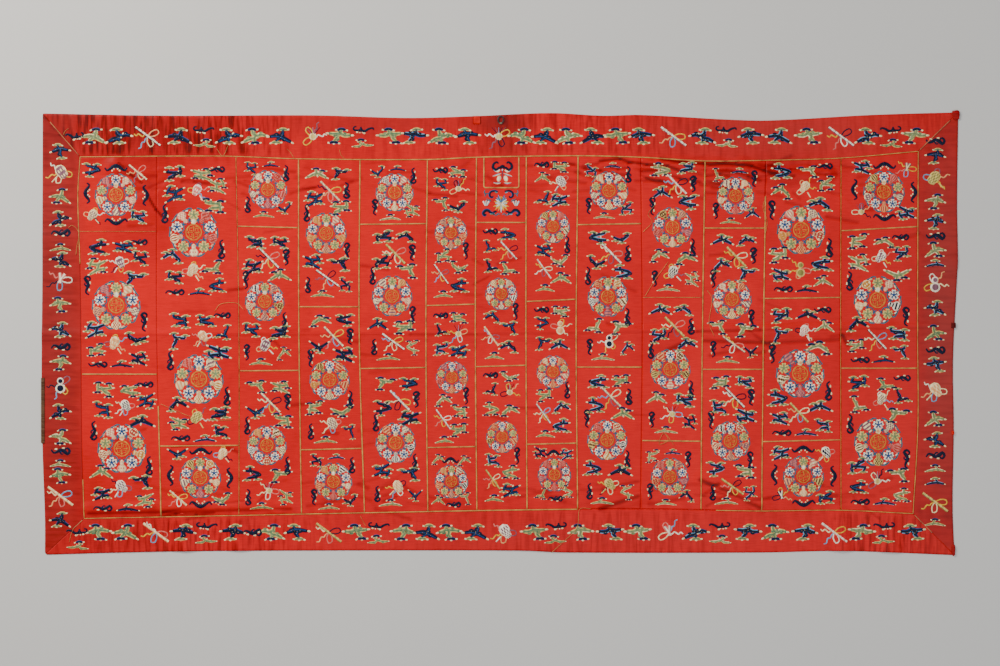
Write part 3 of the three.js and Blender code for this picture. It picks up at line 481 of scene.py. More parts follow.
def satin(name, colours, dull, roughness, takes_painted_shade_and_dust=True, gathers=None):
    """Silk satin, woven in a warp-faced float weave: a soft broad gloss, fine ribs across and slubs."""
    material, tree, shader, place = new_material(name, Roughness=roughness, Specular_IOR_Level=0.12)
    # Broad stains and fading, a few hundred millimetres across.
    fade = add_node(
        tree, "ShaderNodeTexNoise", None, {"Vector": place, "Scale": 2.6, "Detail": 5.0, "Roughness": 0.6},
    )
    tone = add_node(tree, "ShaderNodeValToRGB", None, {"Fac": fade.outputs["Fac"]})
    tone.color_ramp.elements[0].position = 0.32
    tone.color_ramp.elements[0].color = (*linear(colours[0]), 1)
    tone.color_ramp.elements[1].position = 0.68
    tone.color_ramp.elements[1].color = (*linear(colours[1]), 1)
    # Slubs: weft threads of uneven thickness.
    stretched = add_node(
        tree, "ShaderNodeMapping", None,
        {"Vector": place, "Scale": (34.0, 1 / (WEFT_PITCH * MM), 1.0)},
    )
    slub = add_node(
        tree, "ShaderNodeTexNoise", None,
        {"Vector": stretched.outputs["Vector"], "Scale": 1.0, "Detail": 2.0},
    )
    streak = add_node(tree, "ShaderNodeValToRGB", None, {"Fac": slub.outputs["Fac"]})
    streak.color_ramp.elements[0].position = 0.3
    streak.color_ramp.elements[0].color = (*linear(dull), 1)
    streak.color_ramp.elements[1].position = 0.7
    streak.color_ramp.elements[1].color = (1, 1, 1, 1)
    woven = add_node(
        tree, "ShaderNodeMix", {"data_type": "RGBA", "blend_type": "MULTIPLY"},
        {"Factor": 1.0, "A": tone.outputs["Color"], "B": streak.outputs["Color"]},
    )
    # Small blotches, where the float threads have rubbed.
    worn = add_node(tree, "ShaderNodeTexNoise", None, {"Vector": place, "Scale": 38.0, "Detail": 3.0})
    rubbed = add_node(
        tree, "ShaderNodeMix", {"data_type": "RGBA", "blend_type": "OVERLAY"},
        {"Factor": 0.18, "A": woven.outputs["Result"], "B": worn.outputs["Color"]},
    )
    tree.links.new(rubbed.outputs["Result"], shader.inputs["Base Color"])
    # Painted shade of troughs, creases, seams and folds comes from the cloth's attribute, with its dust.
    if takes_painted_shade_and_dust:
        painted_shade_and_dust = add_node(tree, "ShaderNodeAttribute", {"attribute_name": "painted_shade_and_dust"})
        look = add_node(tree, "ShaderNodeSeparateColor", None, {"Color": painted_shade_and_dust.outputs["Color"]})
        dusty = add_node(
            tree, "ShaderNodeMix", {"data_type": "RGBA"},
            {"Factor": look.outputs["Green"], "A": rubbed.outputs["Result"], "B": (*linear(DUST), 1)},
        )
        finished = add_node(
            tree, "ShaderNodeMix", {"data_type": "RGBA", "blend_type": "MULTIPLY"},
            {"Factor": 1.0, "A": dusty.outputs["Result"], "B": look.outputs["Red"]},
        )
        if gathers:
            # Fine gathers across the strip, too narrow for the mesh, with painted shade in their troughs
            # and a little painted light on their crests.
            drawn = add_node(tree, "ShaderNodeMapping", None, {"Vector": place, "Scale": gathers})
            pleat = add_node(
                tree, "ShaderNodeTexNoise", None,
                {"Vector": drawn.outputs["Vector"], "Scale": 1.0, "Detail": 2.0, "Distortion": 0.4},
            )
            trough = add_node(tree, "ShaderNodeValToRGB", None, {"Fac": pleat.outputs["Fac"]})
            trough.color_ramp.elements[0].position = 0.34
            trough.color_ramp.elements[0].color = (0.3, 0.22, 0.22, 1)
            trough.color_ramp.elements[1].position = 0.56
            trough.color_ramp.elements[1].color = (1.08, 1.08, 1.08, 1)
            finished = add_node(
                tree, "ShaderNodeMix", {"data_type": "RGBA", "blend_type": "MULTIPLY"},
                {
                    "Factor": look.outputs["Blue"], "A": finished.outputs["Result"],
                    "B": trough.outputs["Color"],
                },
            )
        tree.links.new(finished.outputs["Result"], shader.inputs["Base Color"])
    ribs = add_node(
        tree, "ShaderNodeBump", None,
        {"Strength": 0.08, "Distance": 0.0004, "Height": slub.outputs["Fac"]},
    )
    crumple = add_node(
        tree, "ShaderNodeTexNoise", None,
        {"Vector": place, "Scale": 24.0, "Detail": 3.0, "Roughness": 0.55},
    )
    soft = add_node(
        tree, "ShaderNodeBump", None,
        {
            "Strength": 0.35, "Distance": 0.003, "Height": crumple.outputs["Fac"],
            "Normal": ribs.outputs["Normal"],
        },
    )
    tree.links.new(soft.outputs["Normal"], shader.inputs["Normal"])
    return material


field_satin = satin("red_silk_satin", ("#ca0b0f", "#de1216"), "#eedcd8", 0.42)
CLOTH_STEP = 4.2  # mesh spacing, fine enough for creases of 12 mm
COLUMN_GAP = 0.02  # so that neighbouring columns share no wall

field_rows = cells(SEAM_TOP_Y - SEAM_BOTTOM_Y)
for number in range(len(SEAMS) + 1):
    width = float(seam_x(number + 1, 0) - seam_x(number, 0))
    across = np.linspace(0, 1, cells(width) + 1)[:, None]
    up = np.linspace(0, 1, field_rows + 1)[None, :]
    y = SEAM_BOTTOM_Y + up * (SEAM_TOP_Y - SEAM_BOTTOM_Y) + 0 * across
    for _ in range(4):
        left, right = seam_x(number, y) + COLUMN_GAP / 2, seam_x(number + 1, y) - COLUMN_GAP / 2
        x = left + across * (right - left)
        bottom = follow(FRAME_BOTTOM, x) + SEAM_GAP / 2
        top = follow(FRAME_TOP, x) - SEAM_GAP / 2
        y = bottom + up * (top - bottom)
    column = cloth_sheet(f"field_column_{number + 1:02d}", x, y, [field_satin])
    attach(column, "root")
    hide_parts("field")

# The border: four strips of a duller crimson satin, mitred at the corners, with a narrow hem turned in
# along the outer edge. Hem and seam have drawn in, so the strips are gathered all along.
border_satin = satin("crimson_silk_satin", ("#c81014", "#da1a1c"), "#eedcd8", 0.44, True, (105.0, 11.0, 1.0))
side_satin = satin("dusty_crimson_satin", ("#a81214", "#be1e1e"), "#f4e8e4", 0.44, True, (11.0, 90.0, 1.0))
STRIP_LINES = cells(110) + 1
corners = {
    ("top", "left"): (FRAME_TOP[0], OUTER_TOP[0]),
    ("top", "right"): (FRAME_TOP[-1], OUTER_TOP[-1]),
    ("bottom", "left"): (FRAME_BOTTOM[0], OUTER_BOTTOM[0]),
    ("bottom", "right"): (FRAME_BOTTOM[-1], OUTER_BOTTOM[-1]),
}
CORNER_RADII = (3, 5, 8, 5)  # how far each corner of the cloth is rounded


def border_strip(name, frame_line, outer_line, ends, is_side):
    """A strip from the frame seam to the edge, whose ends follow the mitres of its two corners."""
    over = np.linspace(0, 1, STRIP_LINES)[None, :]
    (start_in, start_out), (end_in, end_out) = [corners[end] for end in ends]
    axis = 1 if is_side else 0
    count = cells(abs(end_out[axis] - start_out[axis])) + 1
    run = np.linspace(0, 1, count)[:, None]
    begin = start_in[axis] + (start_out[axis] - start_in[axis]) * over + SEAM_GAP / 2
    finish = end_in[axis] + (end_out[axis] - end_in[axis]) * over - SEAM_GAP / 2
    place = begin + run * (finish - begin)
    inner, outer = follow(frame_line, place), follow(outer_line, place)
    gap = np.sign(outer - inner) * SEAM_GAP / 2
    level = inner + gap + over * (outer - inner - gap)
    x, y = (level, place) if is_side else (place, level)
    edge = np.abs(outer - level)
    for (_, outer_corner), radius in zip(corners.values(), CORNER_RADII):
        turn_x, turn_y = (c - math.copysign(radius, c) for c in outer_corner)
        past_x, past_y = (x - turn_x) * np.sign(turn_x), (y - turn_y) * np.sign(turn_y)
        is_past = (past_x > 0) & (past_y > 0)
        pull = np.where(is_past, np.maximum(past_x, past_y) / np.maximum(np.hypot(past_x, past_y), 1e-6), 1)
        x, y = turn_x + (x - turn_x) * pull, turn_y + (y - turn_y) * pull
    # The net turns over where the strip lies to the left of, or below, its seam.
    if is_side == (outer.mean() > inner.mean()):
        x, y, edge = x[::-1], y[::-1], edge[::-1]
    return cloth_sheet(name, x, y, [side_satin if is_side else border_satin], edge)


BORDERS = (
    ("border_top", FRAME_TOP, OUTER_TOP, (("top", "left"), ("top", "right")), False),
    ("border_bottom", FRAME_BOTTOM, OUTER_BOTTOM, (("bottom", "left"), ("bottom", "right")), False),
    ("border_left", FRAME_LEFT, OUTER_LEFT, (("bottom", "left"), ("top", "left")), True),
    ("border_right", FRAME_RIGHT, OUTER_RIGHT, (("bottom", "right"), ("top", "right")), True),
)
for name, frame_line, outer_line, ends, is_side in BORDERS:
    strip = border_strip(f"{name}_cloth", frame_line, outer_line, ends, is_side)
    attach(strip, "root")
    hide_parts(name)

# Gold tape: a narrow band woven of yellow silk round a pale core, couched down over the seams between
# the patches and round the field. It has worn thin, and is lost from two stretches of the frame.
TAPE_WIDTH = 3.6
TAPE_SEAT, TAPE_SHOULDER, TAPE_HAUNCH, TAPE_CROWN = 0.3, 0.9, 1.35, 1.5  # heights over the cloth's face
TAPE_STEP = 7.0
WAVE_TURNS = 20  # radians of a wave texture in one of its units


def braid(name, colours, thread_pitch):
    """Woven silk tape: slanting threads that catch the light, with dark worn places between."""
    material, tree, shader, place = new_material(
        name, Roughness=0.5, Sheen_Weight=0.2, Specular_IOR_Level=0.45,
    )
    wear = add_node(
        tree, "ShaderNodeTexNoise", None, {"Vector": place, "Scale": 45.0, "Detail": 4.0, "Roughness": 0.65},
    )
    tone = add_node(tree, "ShaderNodeValToRGB", None, {"Fac": wear.outputs["Fac"]})
    tone.color_ramp.elements[0].position = 0.3
    tone.color_ramp.elements[0].color = (*linear(colours[0]), 1)
    tone.color_ramp.elements[1].position = 0.65
    tone.color_ramp.elements[1].color = (*linear(colours[1]), 1)
    tree.links.new(tone.outputs["Color"], shader.inputs["Base Color"])
    # The threads are too fine to show, so their slant is drawn in bands, each of 4 pi thread pitches.
    thread = add_node(
        tree, "ShaderNodeTexWave", {"bands_direction": "DIAGONAL"},
        {"Vector": place, "Scale": 1 / (thread_pitch * MM) / WAVE_TURNS, "Distortion": 1.5, "Detail": 1.0},
    )
    slant = add_node(
        tree, "ShaderNodeBump", None,
        {"Strength": 0.5, "Distance": 0.0005, "Height": thread.outputs["Fac"]},
    )
    tree.links.new(slant.outputs["Normal"], shader.inputs["Normal"])
    return material


gold_braid = braid("gold_silk_tape", ("#8c5420", "#d29642"), 2.0)


def ribbon_net(path, half_width, section, ragged=0.0):
    """The points of a band along a path: section gives each rail's place across and its lift."""
    path = np.asarray(path, float)
    run = np.gradient(path, axis=0)
    run /= np.maximum(np.linalg.norm(run, axis=1), 1e-9)[:, None]
    side = np.stack([-run[:, 1], run[:, 0]], -1)
    rails = []
    for place, lift in section:
        jitter = np.array([dice.uniform(-ragged, ragged) for _ in path]) if abs(place) == 1 else 0
        spot = path + side * (np.asarray(half_width) * place + jitter * np.sign(place))[..., None]
        rails.append(np.stack([spot[:, 0], spot[:, 1], cloth_top(spot[:, 0], spot[:, 1]) + lift], -1))
    return np.stack(rails, 1)


# Flat-bottomed, with a low crown: round the section from its right foot over the top to the left foot.
TAPE_SECTION = (
    (-1, TAPE_SEAT), (-1, TAPE_SHOULDER), (-0.7, TAPE_HAUNCH), (0, TAPE_CROWN),
    (0.7, TAPE_HAUNCH), (1, TAPE_SHOULDER), (1, TAPE_SEAT), (0, TAPE_SEAT),
)


def closed_band(net):
    """Points and faces of a closed band whose section is the net's second index."""
    along, across = net.shape[:2]
    i, j = np.meshgrid(np.arange(along - 1), np.arange(across), indexing="ij")
    here, there, k = i * across, (i + 1) * across, (j + 1) % across
    sides = np.stack([here + j, there + j, there + k, here + k], -1).reshape(-1, 4)
    ends = np.array([np.arange(across), (along - 1) * across + np.arange(across)[::-1]])
    return net.reshape(-1, 3), sides, ends


def join_bands(name, bands, material):
    """One mesh of several closed bands."""
    firsts = np.cumsum([0] + [len(points) for points, _, _ in bands[:-1]])
    points = np.concatenate([points for points, _, _ in bands])
    sides = np.concatenate([sides + first for (_, sides, _), first in zip(bands, firsts)])
    ends = np.concatenate([ends + first for (_, _, ends), first in zip(bands, firsts)])
    return mesh_from(name, points, [sides, ends], [material])


def spaced(start, end, step=TAPE_STEP):
    """Places from start to end, about one step apart."""
    return np.linspace(start, end, max(2, round(abs(end - start) / step) + 1))


BARE_BOTTOM, BARE_LEFT = (206, 575), (-391, 184)  # the lost stretches, by x and by y
along_bottom = lambda x1, x2: [(x, float(follow(FRAME_BOTTOM, x))) for x in spaced(x1, x2)]
along_left = lambda y1, y2: [(float(follow(FRAME_LEFT, y)), y) for y in spaced(y1, y2)]
long_path = [
    *along_bottom(BARE_BOTTOM[1], 1101),
    *[(float(follow(FRAME_RIGHT, y)), y) for y in spaced(-482, 485)[1:-1]],
    *[(x, float(follow(FRAME_TOP, x))) for x in spaced(1115, -1122)],
    *along_left(470, BARE_LEFT[1])[1:],
]
corner_path = along_left(BARE_LEFT[0], -495)[:-1] + along_bottom(-1111, BARE_BOTTOM[0])
for name, path in (("long", long_path), ("corner", corner_path)):
    # It has worn narrower than the tape of the seams, least so at the middle of the cloth.
    half = TAPE_WIDTH / 2 * (0.66 + 0.28 * soft_bump(np.array(path)[:, 0] / 800))
    frame_net = ribbon_net(path, half, TAPE_SECTION, 0.2)
    frame_tape = join_bands(f"frame_tape_{name}", [closed_band(frame_net)], gold_braid)
    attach(frame_tape, "root")
    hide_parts(f"tape_frame_{name}")

# The share of its width that a worn tape keeps, by its seam.
THIN_SEAMS = {2: 0.42, 12: 0.42}
THIN_CROSSES = {(1, "high"): 0.22, (10, "high"): 0.36}
UNTAPED_CROSS = (2, "high")
seam_bands, seam_nodes = [], []
for number, (_, _, _, bare) in enumerate(SEAMS, 1):
    if bare == 1:
        continue
    x_mid = float(seam_x(number, 0))
    top = follow(FRAME_TOP, x_mid) - TAPE_WIDTH / 2 - SEAM_GAP
    bottom = follow(FRAME_BOTTOM, x_mid) + TAPE_WIDTH / 2 + SEAM_GAP
    if bare:
        top = SEAM_TOP_Y - bare * (SEAM_TOP_Y - SEAM_BOTTOM_Y)
    places = spaced(bottom, top)
    half = TAPE_WIDTH / 2 * THIN_SEAMS.get(number, 1)
    half = half * (0.92 + 0.08 * np.sin(places / 37 + number))
    net = ribbon_net(np.stack([seam_x(number, places), places], -1), half, TAPE_SECTION, 0.3)
    seam_bands.append(closed_band(net))
    seam_nodes.append(f"tape_seam_{number:02d}")
seam_tapes = join_bands("seam_tapes", seam_bands, gold_braid)
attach(seam_tapes, "root")
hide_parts(*seam_nodes)

cross_bands, cross_nodes = [], []
for number, ends in enumerate(CROSS_SEAMS, 1):
    for level, (left_y, right_y) in (("high", ends[:2]), ("low", ends[2:])):
        if (number, level) == UNTAPED_CROSS:
            continue
        left = float(seam_x(number - 1, left_y)) + TAPE_WIDTH / 2 + SEAM_GAP
        right = float(seam_x(number, right_y)) - TAPE_WIDTH / 2 - SEAM_GAP
        places = spaced(left, right)
        thin = THIN_CROSSES.get((number, level), 1)
        half = TAPE_WIDTH / 2 * thin * (0.94 + 0.06 * np.sin(places / 29 + number))
        heights = np.interp(places, (left, right), (left_y, right_y))
        cross_bands.append(closed_band(ribbon_net(np.stack([places, heights], -1), half, TAPE_SECTION, 0.3)))
        cross_nodes.append(f"tape_cross_{number:02d}_{level}")
cross_tapes = join_bands("cross_tapes", cross_bands, gold_braid)
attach(cross_tapes, "root")
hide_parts(*cross_nodes)

# The inset square: the same tape laid as three sides of a square with rounded lower corners. It hangs
# from the frame's tape at the top of the middle column.
INSET_LEFT, INSET_RIGHT, INSET_BOTTOM, INSET_CORNER = -46, 51, 386, 7
inset_tops = [float(follow(FRAME_TOP, x)) - TAPE_WIDTH / 2 for x in (INSET_LEFT, INSET_RIGHT)]
middle_left, middle_right = INSET_LEFT + TAPE_WIDTH / 2, INSET_RIGHT - TAPE_WIDTH / 2
middle_bottom, bend = INSET_BOTTOM + TAPE_WIDTH / 2, INSET_CORNER - TAPE_WIDTH / 2
quarter = np.linspace(0, math.pi / 2, 6)
inset_path = np.concatenate([
    [(middle_left, y) for y in spaced(inset_tops[0], middle_bottom + bend)[:-1]],
    [(middle_left + bend - bend * math.cos(a), middle_bottom + bend - bend * math.sin(a)) for a in quarter],
    [(x, middle_bottom) for x in spaced(middle_left + bend, middle_right - bend)[1:-1]],
    [(middle_right - bend + bend * math.sin(a), middle_bottom + bend - bend * math.cos(a)) for a in quarter],
    [(middle_right, y) for y in spaced(middle_bottom + bend, inset_tops[1])[1:]],
])
inset_net = ribbon_net(inset_path, TAPE_WIDTH / 2, TAPE_SECTION, 0.2)
inset_tape = join_bands("inset_tape", [closed_band(inset_net)], gold_braid)
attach(inset_tape, "root")
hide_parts("tape_inset")

# Mitre cords: a thin twisted silk cord, duller than the tape, couched along each corner mitre. Most of
# the two lower ones is lost.
mitre_cord = braid("twisted_gold_cord", ("#8a4426", "#c07c48"), 1.2)
MITRE_CORD_WIDTH, MITRE_CORD_STEP = 2.04, 5
MITRE_CORD_START, MITRE_CORD_END = 6, 30  # its distance from the frame's corner and from the outer one
MITRE_CORD_LEFT = {("bottom", "left"): 42, ("bottom", "right"): 72}  # what is left of the two lower ones
mitre_bands, mitre_nodes = [], []
for (level, side), ((in_x, in_y), (out_x, out_y)) in corners.items():
    length = math.hypot(out_x - in_x, out_y - in_y)
    stop = MITRE_CORD_LEFT.get((level, side), length - MITRE_CORD_END)
    shares = spaced(MITRE_CORD_START, stop, MITRE_CORD_STEP) / length
    path = np.stack([in_x + shares * (out_x - in_x), in_y + shares * (out_y - in_y)], -1)
    mitre_bands.append(closed_band(ribbon_net(path, MITRE_CORD_WIDTH / 2, TAPE_SECTION, 0.2)))
    mitre_nodes.append(f"cord_mitre_{level}_{side}")
mitre_cords = join_bands("mitre_cords", mitre_bands, mitre_cord)
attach(mitre_cords, "root")
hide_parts(*mitre_nodes)

# Embroidery floss: flat untwisted silk in satin stitch, a little raised over the ground. One soft
# finish serves every dye, and the dye is kept with each face. Motifs are gathered in a work, which is a
# list of nets of (x, y, lift) points with a dye for each cell.
DYES = {
    "navy": "#0a1431", "blue": "#18437c", "sky": "#6ca8cc", "sage": "#7e8f63", "green": "#5b7f5c",
    "olive": "#8f8a48", "straw": "#dfc572", "cream": "#ffe7b0", "white": "#fff5de", "peach": "#f2aa70",
    "pink": "#e07a70", "mauve": "#845a6a", "brown": "#623a28", "gold": "#d08a36",
    "yellow": "#eab93a", "tendril": "#25697a", "rose": "#b8382e",
}
dye_colours = {name: np.array(linear(colour)) for name, colour in DYES.items()}


def smooth_path(points, steps):
    """A path through a few points, rounded as a hand-drawn line is."""
    points = np.asarray(points, float)
    padded = np.concatenate([[2 * points[0] - points[1]], points, [2 * points[-1] - points[-2]]])
    t = np.linspace(0, 1, steps, endpoint=False)[:, None]
    parts = []
    for k in range(1, len(points)):
        a, b, c, d = padded[k - 1:k + 3]
        curve = 2 * b + (c - a) * t + (2 * a - 5 * b + 4 * c - d) * t ** 2 + (3 * b - a - 3 * c + d) * t ** 3
        parts.append(0.5 * curve)
    return np.concatenate([*parts, points[-1:]])


def placed(points, centre, angle=0.0, scale=(1.0, 1.0)):
    """Points of a motif's own frame, scaled, turned and moved to their place."""
    points = np.asarray(points, float) * scale
    cosine, sine = math.cos(angle), math.sin(angle)
    return points @ np.array([[cosine, sine], [-sine, cosine]]) + centre


def stroke(work, path, width, dyes, lift=0.9, widths=(0.5, 1, 1, 1, 0.5), steps=3):
    """A raised line of stitches with a strip of each dye across it, and its width along it."""
    path = smooth_path(path, steps)
    run = np.gradient(path, axis=0)
    run /= np.maximum(np.linalg.norm(run, axis=1), 1e-9)[:, None]
    side = np.stack([-run[:, 1], run[:, 0]], -1)
    share = np.linspace(0, 1, len(path))
    half = width / 2 * np.interp(share, np.linspace(0, 1, len(widths)), widths)
    if len(dyes) == 1:
        dyes = dyes * 2
    rails = []
    for place in np.linspace(-1, 1, len(dyes) + 1):
        lifts = np.full((len(path), 1), lift * (1 - 1.15 * place * place))
        rails.append(np.concatenate([path + side * (half * place)[:, None], lifts], 1))
    net = np.stack(rails, 1)
    work.append((net, np.broadcast_to(np.array(dyes, object), (len(path) - 1, len(dyes)))))


def rosette(work, centre, outline, rings, lift=1.0):
    """A flat motif with a closed outline, in rings of dye from its rim to its centre."""
    outline = np.concatenate([outline, outline[:1]])
    rails = []
    for scale in [ring[0] for ring in rings] + [0.02]:
        lifts = np.full((len(outline), 1), lift * (1 - 1.2 * scale ** 4))
        rails.append(np.concatenate([outline * scale + centre, lifts], 1))
    dyes = np.array([ring[1] for ring in rings], object)
    work.append((np.stack(rails, 1), np.broadcast_to(dyes, (len(outline) - 1, len(rings)))))


def disc(work, centre, width, height, dyes, lift=1.0, angle=0.0, count=9):
    """An oval of one dye, or of two with the second inside."""
    turn = np.linspace(0, 2 * math.pi, count, endpoint=False)
    outline = placed(np.stack([np.cos(turn), np.sin(turn)], -1), (0, 0), angle, (width / 2, height / 2))
    rosette(work, np.asarray(centre, float), outline, list(zip((1.0, 0.6), dyes)), lift)


def petals(radius, lobes, depth, turn=0.0):
    """The outline of a flower with pointed lobes."""
    angle = np.linspace(0, 2 * math.pi, lobes * 4, endpoint=False)
    reach = radius * (1 - depth * np.abs(np.sin(lobes * angle / 2)))
    return np.stack([reach * np.cos(angle + turn), reach * np.sin(angle + turn)], -1)


floss, floss_tree, floss_shader, floss_place = new_material(
    "silk_floss", Roughness=0.5, Sheen_Weight=0.0, Specular_IOR_Level=0.14,
)
floss_dye = add_node(floss_tree, "ShaderNodeAttribute", {"attribute_name": "dye"})
# Stitches of 1 mm are too fine to show, so slight changes of tone and height go over bundles of them,
# each of 2 pi of this length.
STITCH_BUNDLE = 2.0
stitch = add_node(
    floss_tree, "ShaderNodeTexWave", {"bands_direction": "X"},
    {
        "Vector": floss_place, "Scale": 1 / (STITCH_BUNDLE * MM) / WAVE_TURNS, "Distortion": 2.5,
        "Detail": 2.0, "Detail Scale": 1.5,
    },
)
thread_tone = add_node(floss_tree, "ShaderNodeValToRGB", None, {"Fac": stitch.outputs["Fac"]})
thread_tone.color_ramp.elements[0].color = (*linear("#dedad8"), 1)
thread_tone.color_ramp.elements[1].color = (1, 1, 1, 1)
dyed = add_node(
    floss_tree, "ShaderNodeMix", {"data_type": "RGBA", "blend_type": "MULTIPLY"},
    {"Factor": 1.0, "A": floss_dye.outputs["Color"], "B": thread_tone.outputs["Color"]},
)
floss_tree.links.new(dyed.outputs["Result"], floss_shader.inputs["Base Color"])
floss_bump = add_node(
    floss_tree, "ShaderNodeBump", None,
    {"Strength": 0.35, "Distance": 0.0004, "Height": stitch.outputs["Fac"]},
)
floss_tree.links.new(floss_bump.outputs["Normal"], floss_shader.inputs["Normal"])


def embroider(name, work):
    """Lays a finished work on the cloth as one mesh."""
    points, quads, colours, first = [], [], [], 0
    for net, dyes in work:
        points.append(net.reshape(-1, 3))
        quads.append(grid_quads(*net.shape[:2], first))
        shade = dice.uniform(0.9, 1.06)
        colours.extend(dye_colours[dye] * shade for dye in dyes.ravel())
        first += len(points[-1])
    points, quads, colours = np.concatenate(points), np.concatenate(quads), np.array(colours)
    a, b, c, d = (points[quads[:, k], :2] for k in range(4))
    area = (c[:, 0] - a[:, 0]) * (d[:, 1] - b[:, 1]) - (c[:, 1] - a[:, 1]) * (d[:, 0] - b[:, 0])
    quads[area < 0] = quads[area < 0][:, ::-1]
    points[:, 2] += cloth_top(points[:, 0], points[:, 1])
    piece = mesh_from(name, points, [quads], [floss])
    dye = piece.data.color_attributes.new(name="dye", type="FLOAT_COLOR", domain="CORNER")
    colours = np.concatenate([colours, np.ones((len(colours), 1))], 1)
    dye.data.foreach_set("color", np.repeat(colours, 4, axis=0).ravel())
    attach(piece, "root")


# Roundels: one on every patch but the top one of the middle column. A gold fret lies at the centre, and
# five flowers and five gourds on a blue tendril go round it, each gourd filled with its own pattern.
ROUNDELS = (  # each column's centres and radii, from the top, in photo pixels
    ((116.1, 194.9, 21.5), (116.4, 305.3, 24.7), (122, 448.5, 24.7)),
    ((193.8, 232.4, 25), (199, 379.1, 25), (200.3, 477.4, 21)),
    ((268, 189.5, 19.5), (264.8, 301.3, 20), (267, 445.3, 20)),
    ((326.3, 233.3, 20.7), (329.7, 379.8, 20.4), (333.5, 481.5, 19)),
    ((394.7, 192.4, 19.2), (392.2, 296, 20.5), (395.7, 442.7, 20.3)),
    ((451, 232.7, 16.6), (452, 377.3, 16.4), (451.5, 481.5, 17)),
    (None, (501.3, 293.8, 16.3), (502.1, 436.9, 16.3)),
    ((553, 226.4, 17), (553, 371.8, 16.6), (554.4, 474.6, 17)),
    ((609, 190.7, 19.6), (607.8, 296.7, 20.4), (607.3, 439.8, 20.4)),
    ((672.5, 227.4, 20.4), (670.3, 369.3, 20.4), (669.7, 476.7, 19)),
    ((735.5, 195.7, 19), (731.9, 299.3, 20), (730.5, 441.1, 20)),
    ((801.1, 229.9, 24.5), (800.1, 373.5, 24.5), (803.4, 476.3, 20.8)),
    ((883.8, 191.7, 21), (877.6, 300.1, 24.2), (878.2, 441.8, 24.5)),
)
# Half the gourd's width at each share of its length: a small bulb, a waist and a large bulb.
GOURD_PROFILE = (
    (0, 0.08), (0.1, 0.44), (0.21, 0.48), (0.33, 0.36), (0.45, 0.7), (0.58, 0.96), (0.72, 1.0), (0.85, 0.84),
    (0.95, 0.52), (1, 0.12),
)
GOURD_CELLS = 8
GOURD_DYES = (
    ("cream", "rose"), ("peach", "cream"), ("cream", "mauve"), ("peach", "rose"), ("cream", "brown"),
    ("straw", "brown"), ("peach", "mauve"), ("pink", "cream"), ("cream", "gold"), ("white", "navy"),
    ("mauve", "cream"), ("peach", "rose"), ("pink", "rose"), ("mauve", "pink"), ("peach", "gold"),
)
GOURD_PATTERNS = (  # which cells take the second dye; the chequer is twice as common as the others
    lambda i, j: (i + j) % 2,
    lambda i, j: (i + j) % 2,
    lambda i, j: not (i % 2 and j % 2),
    lambda i, j: (i * 3 + j * 2) % 5 > 1,
    lambda i, j: (i + j) % 4 < 2,
    lambda i, j: (i + j) % 3 > 0,
    lambda i, j: j % 2,
    lambda i, j: i % 2,
)
FLOWER_LOBE = (0.82, 0.94, 1.0, 0.84, 0.52, 0.84, 1.0, 0.94)  # round one petal, from its notched tip


def flower(work, centre, radius, outer, inner, turn):
    """Five petals with notched tips, and a dark star inside them."""
    count = 5 * len(FLOWER_LOBE)
    angle = np.linspace(0, 2 * math.pi, count, endpoint=False) + turn
    reach = radius * np.tile(FLOWER_LOBE, 5)
    outline = np.stack([reach * np.cos(angle), reach * np.sin(angle)], -1)
    rosette(work, centre, outline, [(1.0, outer), (0.7, outer), (0.32, inner), (0.14, inner)], 1.1)
    net, dyes = work.pop()
    dyes = np.array(dyes)
    dyes[[cell for cell in range(count) if cell % len(FLOWER_LOBE) in (0, 1, 6, 7)], 1] = inner
    work.append((net, dyes))


def gourd(work, centre, angle, length, width, dyes, pattern, profile=GOURD_PROFILE, lift=1.1):
    """A gourd, or another patterned thing, whose small end points back along its angle."""
    share, profile = np.array(profile).T
    half = width / 2 * profile
    rails = []
    for place in np.linspace(-1, 1, GOURD_CELLS + 1):
        spots = placed(np.stack([(share - 0.5) * length, place * half], -1), centre, angle)
        lifts = lift * (1 - 1.15 * place ** 4) * np.where((share == 0) | (share == 1), 0.1, 1)
        rails.append(np.concatenate([spots, lifts[:, None]], 1))
    dye_grid = np.empty((len(share) - 1, GOURD_CELLS), object)
    for i in range(len(share) - 1):
        for j in range(GOURD_CELLS):
            is_rim = j in (0, GOURD_CELLS - 1) or i == len(share) - 2
            dye_grid[i, j] = dyes[1] if pattern(i, j) and not is_rim else dyes[0]
    work.append((np.stack(rails, 1), dye_grid))


def fret(work, centre, radius):
    """A gold fret of hooks and bars inside a ring, the same four times round."""
    turns = np.linspace(0, 2 * math.pi, 21)
    ring = np.stack([np.cos(turns), np.sin(turns)], -1) * radius * 0.94 + centre
    stroke(work, ring, radius * 0.14, ["gold"], 1.2, (1, 1), 1)
    for k in range(4):
        for hook in (
            ((0.0, 0.1), (0.0, 0.78)), ((0.2, 0.16), (0.2, 0.5), (0.52, 0.5), (0.52, 0.2)),
            ((0.2, 0.74), (0.5, 0.72), (0.72, 0.46)), ((-0.16, 0.62), (0.16, 0.62)),
        ):
            line = placed(hook, centre, k * math.pi / 2, (radius, radius))
            stroke(work, line, radius * 0.11, ["gold"], 1.2, (1, 1), 1)


